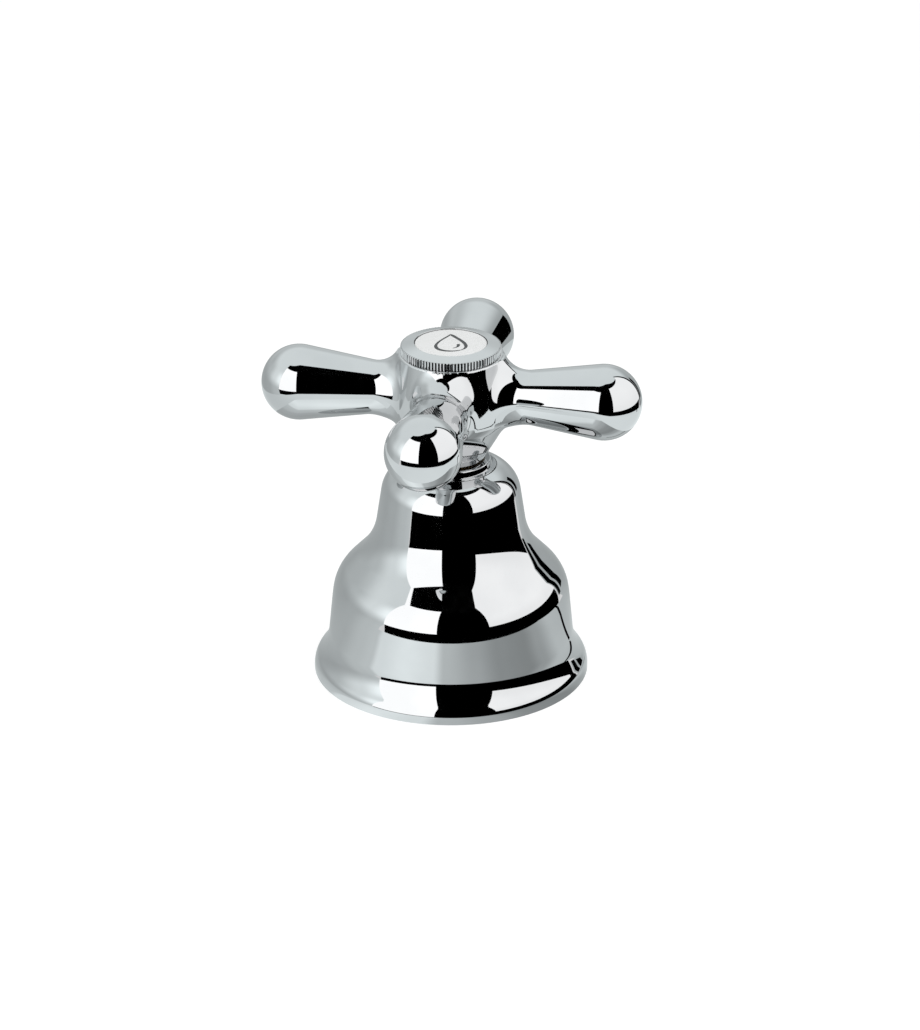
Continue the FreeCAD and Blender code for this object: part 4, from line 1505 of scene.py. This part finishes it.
@dataclass
class Studio:
    """Floor, white surround, two soft boxes, and the paper and cloths that the metal mirrors.

    A tone is a row of bearings in degrees from the front, each with the glow there.
    """

    floor_half: float = 3000.0
    floor_drop: float = 0.05
    floor_albedo: float = 0.55
    floor_glow: float = 0.62
    surround: float = 1.0
    ambient: float = 0.70
    dark_from: float = -54.0
    dark_to: float = 133.0
    sweep_radius: float = 420.0
    table_radius: float = 101.0
    # Painted light: the glows of the table, the sweep and the bounce sheet change with the bearing
    # to stand for how the soft boxes light them, and the table's also for the reflections in it.
    table_tones: Stops = ((-180, 0.45), (-150, 0.50), (-116, 0.54), (-88, 0.61), (-66, 0.76),
                          (-53, 0.83), (-47, 1.12), (-25, 1.28), (-4, 1.14), (5, 0.74),
                          (28, 0.57), (48, 0.42), (70, 0.37), (83, 0.50), (101, 0.74),
                          (130, 0.66), (155, 0.52), (180, 0.45))
    sweep_tones: Stops = ((-180, 0.78), (-150, 0.75), (-122, 0.66), (-103, 0.74), (-75, 1.10),
                          (-50, 1.62), (100, 1.62), (138, 0.55), (165, 0.62), (180, 0.78))
    sheet_tones: Stops = ((-180, 0.80), (-90, 0.84), (-30, 1.04), (10, 1.10), (90, 1.08),
                          (180, 0.80))
    room_radius: float = 700.0
    room_low: float = -400.0
    room_high: float = 900.0
    ceiling_gap: float = 20.0
    paper_drop: float = 0.02
    zenith: float = 1.05

    def floor(self) -> None:
        """Lay the pale floor that the camera sees, a little below the foot."""
        half, level = self.floor_half * MM, -self.floor_drop * MM
        rim = [(x * half, y * half, level) for x, y in ((-1, -1), (1, -1), (1, 1), (-1, 1))]
        mesh = bpy.data.meshes.new("floor")
        mesh.from_pydata(rim, [], [(0, 1, 2, 3)])
        floor = mesh_object("floor", mesh)
        bench = Bench("pale_floor")
        matt = bench.add("ShaderNodeBsdfDiffuse")
        matt.inputs["Color"].default_value = (*[self.floor_albedo] * 3, 1)
        glow = bench.add("ShaderNodeEmission")
        bench.feed(glow.inputs["Strength"], self.seen(bench, 0.0, self.floor_glow))
        both = bench.add("ShaderNodeAddShader")
        bench.feed(both.inputs[0], matt.outputs[0])
        bench.feed(both.inputs[1], glow.outputs[0])
        bench.feed(bench.out.inputs["Surface"], both.outputs[0])
        floor.data.materials.append(bench.material)
        floor.visible_glossy = False

    @staticmethod
    def seen(desk: NodeDesk, other: float, shown: float) -> Socket:
        """A strength for rays that show a surface, and another for rays that only light.

        Args:
            desk: the tree to add to.
            other: the strength for rays that only light.
            shown: the strength for camera, glossy and transmission rays.

        Returns:
            The strength.
        """
        path = desk.add("ShaderNodeLightPath")
        share = path.outputs["Is Camera Ray"]
        for name in ("Is Glossy Ray", "Is Transmission Ray"):
            share = desk.sum("MAXIMUM", share, path.outputs[name])
        return desk.spread(share, other, shown)

    def sky(self) -> None:
        """Surround everything with white, and light the tap gently from all sides."""
        world = bpy.data.worlds.new("white_surround")
        world.use_nodes = True
        bpy.context.scene.world = world
        desk = NodeDesk(world.node_tree)
        back = desk.tree.nodes["Background"]
        desk.feed(back.inputs["Color"], (*WHITE, 1))
        desk.feed(back.inputs["Strength"], self.seen(desk, self.ambient, self.surround))

    def screens(self) -> list[Screen]:
        """The screens round the tap: the light sweep, the two boxes, the dark cloths and the lamp
        stand's painted shadow.

        Returns:
            The screens.
        """
        dark = (self.dark_from, self.dark_to)
        light = (self.dark_to, self.dark_from + 360)
        room, low, high = self.room_radius, self.room_low, self.room_high
        black, zenith = ((0, 0.0),), ((0, self.zenith),)
        paper, sweep = ((0, self.table_tones),), self.sweep_tones
        table, wall = self.table_radius, self.sweep_radius
        flat, ceiling = -self.paper_drop, high + self.ceiling_gap
        # Each has a name, its bearings, its near and far edges, and the bands of its glow.
        return [
            Screen("soft_box_left", (self.dark_from, -3), (380, 8), (380, 530),
                   ((0, 1.68),), lights=True),
            Screen("soft_box_right", (44, 129), (165, 43), (165, 320), ((43, 1.32), (110, 1.42)),
                   lights=True),
            Screen("paper_sweep", light, (wall, 0), (wall, high),
                   (*paper, (150, sweep), (190, sweep), (400, self.zenith))),
            Screen("paper_floor", light, (table, flat), (wall, flat), paper),
            Screen("near_table", (-180, 180), (0, flat), (table, flat), paper),
            Screen("bounce_sheet", (-180, 180), (62, 50), (41, 50),
                   ((0, self.sheet_tones),), one_side=True),
            Screen("low_table", dark, (0, -91), (430, -91), ((0, 1.05),)),
            Screen("dark_wall", dark, (room, low), (room, high), black),
            Screen("dark_canopy", (-58, 125), (200, high), (room, high), black, bow=270),
            Screen("lamp_stand", (131.5, 136.5), (205, 0), (205, 420), black),
            # Painted shadow of the lamp stand: a black strip lying on the table, seen only in the
            # metal.
            Screen("stand_shadow_strip", (115.5, 118.5), (38, -flat), (205, -flat), black),
            Screen("dark_card", (141, 148), (300, 0), (300, 150), black),
            Screen("ceiling", (-180, 180), (0, ceiling), (room, ceiling), zenith),
        ]

    def build(self) -> None:
        """Set the studio up."""
        self.floor()
        self.sky()
        for screen in self.screens():
            screen.build()
        bpy.context.scene.view_settings.view_transform = "Standard"


@dataclass
class Viewpoint:
    """The photograph's camera, found from the object's outline."""

    distance: float = 837.0
    height: float = 414.0
    bearing: float = 10.02
    pitch: float = 24.38
    yaw: float = 0.129
    focal_pixels: float = 4379.0
    long_side_pixels: float = 1030.0
    sensor: float = 36.0
    clip: Pair = (0.01, 20.0)

    def build(self) -> bpy.types.Object:
        """Make the camera and set it as the scene's.

        Returns:
            The camera.
        """
        data = bpy.data.cameras.new("photo_camera")
        data.sensor_width = self.sensor
        data.lens = self.sensor * self.focal_pixels / self.long_side_pixels
        data.clip_start, data.clip_end = self.clip
        camera = bpy.data.objects.new("photo_camera", data)
        bpy.context.scene.collection.objects.link(camera)
        turn = math.radians(self.bearing)
        camera.location = (self.distance * MM * math.sin(turn),
                           -self.distance * MM * math.cos(turn), self.height * MM)
        camera.rotation_euler = (math.radians(90 - self.pitch), 0,
                                 turn - math.radians(self.yaw))
        bpy.context.scene.camera = camera
        return camera


def main() -> None:
    """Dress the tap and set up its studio."""
    logging.basicConfig(level=logging.INFO, format="%(name)s: %(message)s")
    for finish, names in NODE_FINISHES.items():
        for name in names:
            finish.dress(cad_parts[name])
    disc = IndexDisc()
    for assembly in (Bell(), Collar(), CrossHandle(), IndexRing(), disc, DropMark(disc)):
        assembly.install()
    Studio().build()
    Viewpoint().build()


if __name__ == "__main__":
    main()
